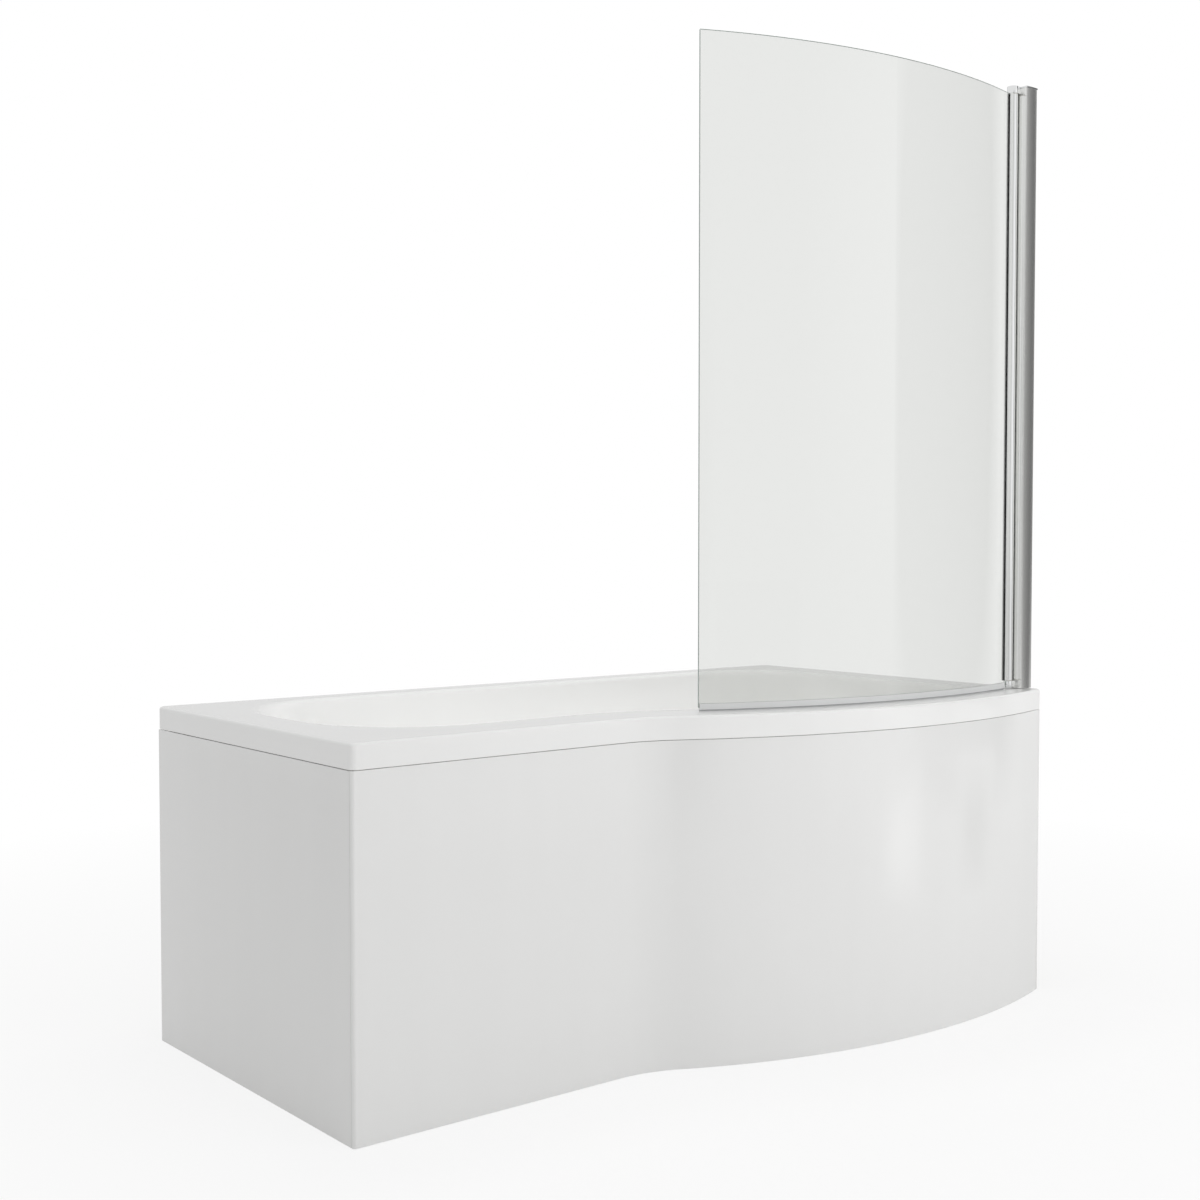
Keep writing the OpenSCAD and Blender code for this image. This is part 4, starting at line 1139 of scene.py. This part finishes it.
boards = [((x + s * 45, y, RAIL - 2.2), DOWN) for x, s in zip(FRAME_X, (1, -1)) for y in (252.0, 470.0)]
walls = [((x + s, WIDTH - 23, 555.6), DOWN) for x in (330.0, 1050.0) for s in (-10, 10)]
sides = [((LENGTH - 13, PROFILE_Y + 30.1, z), (0, 1, 0)) for z in (750, 1190, 1630)]
repeated("board_screws", "rail_screws", pan_head(5, 1.8), boards)
repeated("bracket_screw_heads", "bracket_screws", pan_head(4, 2, 2.1, 2.3), walls)
repeated("profile_screws", "adjuster_screws", pan_head(4, 2, 2, 7.1), sides)

# %% [markdown]
# ## Finishes for the pieces that stay
# The other nodes already have the right shape: cut timber, folded steel, tubes, pins and bushes. They only
# need their finish.

# %% Finish what stays
keep(chipboard, "baseboard")
keep(spruce_along, "batten_front", "batten_curve", "batten_back", "floor_batten_front", "floor_batten_curve")
keep(spruce_across, "batten_left", "batten_right", "floor_batten_end")
keep(zinc, "leg_posts", "leg_rail_left", "leg_rail_right", "centre_foot_plate", "rail_brackets",
     "wall_brackets", "panel_clips", "block_screws")
keep(black_pp, "post_plugs")
keep(rubber, "waste_washers", "glass_gasket")
keep(chrome, "waste_grid", "plug_stem", "pivot_pin_bottom", "pivot_pin_top")
keep(aluminium, "wall_channel")
keep(nylon, "pivot_bush_bottom", "pivot_bush_top")

# %% [markdown]
# ## Floor, light and camera
# The bath is white on white, so the light has to draw it. The sky gives most of it. A large dim light
# stands low to the front right and lifts the front over the end panel, one hangs high above, and a weak
# one lies flush in the bowl's mouth and shines down, so the bowl is lighter than the rim without burning
# it out. The camera sees the sky as pure white and the floor nearly so. Reflections see a slightly darker
# sky, with a grey side behind the bath: that is what keeps the flat rim from melting into the background.

# %% A white studio
world = bpy.data.worlds.new("White studio")
bpy.context.scene.world = world
world.use_nodes = True
world.node_tree.nodes.clear()
WHITE = colour("#FFFFFF")
BEHIND = (0.63, 0.77, 0.05)
SKY_LIGHT = 0.655
SKY_MIRROR = 0.95
SKY_BEHIND = 0.70
FLOOR_NEAR = 0.82


def rays(tree):
    """One for camera rays and for rays that came through the glass, and one for reflections."""
    ray = add(tree, "ShaderNodeLightPath").outputs
    return maths(tree, "MAXIMUM", ray["Is Camera Ray"], ray["Is Transmission Ray"]), ray["Is Glossy Ray"]


tree = world.node_tree
direct, glossy = rays(tree)
way = add(tree, "ShaderNodeTexCoord").outputs["Generated"]
toward = add(tree, "ShaderNodeVectorMath", {0: way, 1: BEHIND}, operation="DOT_PRODUCT").outputs["Value"]
mirror = spread(tree, glossy, SKY_LIGHT, spread(tree, toward, SKY_MIRROR, SKY_BEHIND, 0.72, 0.92))
sky = add(tree, "ShaderNodeBackground", {"Color": WHITE, "Strength": spread(tree, direct, mirror, 1.0)})
add(tree, "ShaderNodeOutputWorld", {"Surface": sky.outputs[0]})

floor_white, tree = finish("Studio floor, white")
direct, glossy = rays(tree)
far = add(tree, "ShaderNodeVectorMath", {0: on_object(tree)}, operation="LENGTH").outputs["Value"]
fade = spread(tree, far, FLOOR_NEAR, 1.0, 0.8, 2.6)
share = maths(tree, "MULTIPLY", maths(tree, "MAXIMUM", direct, glossy), fade)
matt = add(tree, "ShaderNodeBsdfDiffuse", {"Color": between(tree, noise(tree, 300), "#F1F1F1", "#F4F4F4")})
glow = add(tree, "ShaderNodeEmission", {"Color": WHITE, "Strength": spread(tree, direct, 0.8, 1.0)})
output(tree, add(tree, "ShaderNodeMixShader", {0: share, 1: matt.outputs[0], 2: glow.outputs[0]}))
ground = bpy.data.meshes.new("studio_floor")
ground.from_pydata([(x, y, 0) for x, y in oblong(-30, 30, -30, 30)], [], [(0, 1, 2, 3)])
ground.materials.append(floor_white)
new_object("studio_floor", ground)

# %% Soft lights


def soft_light(name, at, to, width, height, watts):
    """A rectangular light aimed at a point, in metres; it lights, and the cards below are what shows."""
    data = bpy.data.lights.new(name, "AREA")
    data.shape = "RECTANGLE"
    data.size = width
    data.size_y = height
    data.energy = watts
    lamp = new_object(name, data)
    lamp.location = at
    lamp.rotation_euler = (Vector(to) - Vector(at)).to_track_quat("-Z", "Y").to_euler()
    lamp.visible_glossy = False
    lamp.visible_transmission = False


soft_light("key_front", (0.7, -2.7, 1.1), (0.0, -0.3, 0.2), 2.4, 1.4, 16)
soft_light("above", (0.1, 0.3, 2.4), (0.1, 0.2, 0.4), 1.6, 0.4, 7)
soft_light("in_bowl", (0.05, 0.0, 0.56), (0.05, 0.10, 0.19), 1.0, 0.3, 0.68)

# %% [markdown]
# Gloss and polish only show what stands around them. So the reflections get cards of their own: bright
# ones, which the panel and the glass show as soft upright bands, and dark ones for the bands in the metal.
# Each fades into the sky at its edges. They are seen only in reflections, so they neither light the bath
# nor shade it, and the camera looks through them.

# %% Cards for the reflections


def card(name, side_0, side_1, z0, z1, level_0, level_1, soft=1.0):
    """An upright card between two points in plan, metres, that fades into the sky at its edges."""
    made, tree = finish(name)
    spot = add(tree, "ShaderNodeUVMap", uv_map="card").outputs[0]
    uv = add(tree, "ShaderNodeSeparateXYZ", {0: spot}).outputs
    humps = [maths(tree, "SINE", maths(tree, "MULTIPLY", uv[i], math.pi)) for i in (0, 1)]
    level = spread(tree, uv[0], level_0, level_1)
    total = spread(tree, maths(tree, "MULTIPLY", *humps), SKY_MIRROR, level, 0.0, soft)
    output(tree, add(tree, "ShaderNodeEmission", {"Color": WHITE, "Strength": total}))
    mesh = bpy.data.meshes.new(name)
    mesh.from_pydata([(*side_0, z0), (*side_1, z0), (*side_1, z1), (*side_0, z1)], [], [(0, 1, 2, 3)])
    layer = mesh.uv_layers.new(name="card")
    for loop, at in zip(layer.data, oblong(0, 1, 0, 1)):
        loop.uv = at
    mesh.materials.append(made)
    obj = new_object(name, mesh)
    obj.visible_camera = False
    obj.visible_diffuse = False
    obj.visible_shadow = False
    obj.visible_transmission = False


card("card_window", (4.3, -2.6), (1.3, -4.6), 0.01, 4.0, 1.35, 1.35)
card("card_metal", (2.20, -0.72), (2.42, -2.90), 0.12, 2.9, 0.08, 0.40, 0.2)
card("card_panel_light", (0.90, -1.00), (0.70, -1.16), 0.01, 0.50, 2.1, 2.1)
card("card_panel_dark", (1.28, -0.72), (1.15, -0.95), 0.01, 0.50, 0.0, 0.0)
card("card_camera", (-0.2, -2.9), (-1.3, -2.8), 0.01, 2.4, 0.25, 0.25)

# %% [markdown]
# The camera stands where the photographer stood. Its place, its angles and its lens were worked out from
# the straight edges of the bath, so that the picture can be laid over the photograph.

# %% The camera at the photograph's angle
EYE = (-1210.2, -2083.9, 902.7)
YAW = math.radians(51.232)
PITCH = math.radians(-2.252)
FOCAL_PX = 1646.8
IMAGE_PX = 1200
SENSOR = 36
view = Vector((math.cos(YAW) * math.cos(PITCH), math.sin(YAW) * math.cos(PITCH), math.sin(PITCH)))
lens = bpy.data.cameras.new("camera")
lens.sensor_width = SENSOR
lens.lens = SENSOR * FOCAL_PX / IMAGE_PX
camera = new_object("camera", lens)
camera.location = metres([EYE])[0]
camera.rotation_euler = view.to_track_quat("-Z", "Y").to_euler()
bpy.context.scene.camera = camera
bpy.context.scene.view_settings.view_transform = "Standard"
print("lens", round(lens.lens, 2), "mm")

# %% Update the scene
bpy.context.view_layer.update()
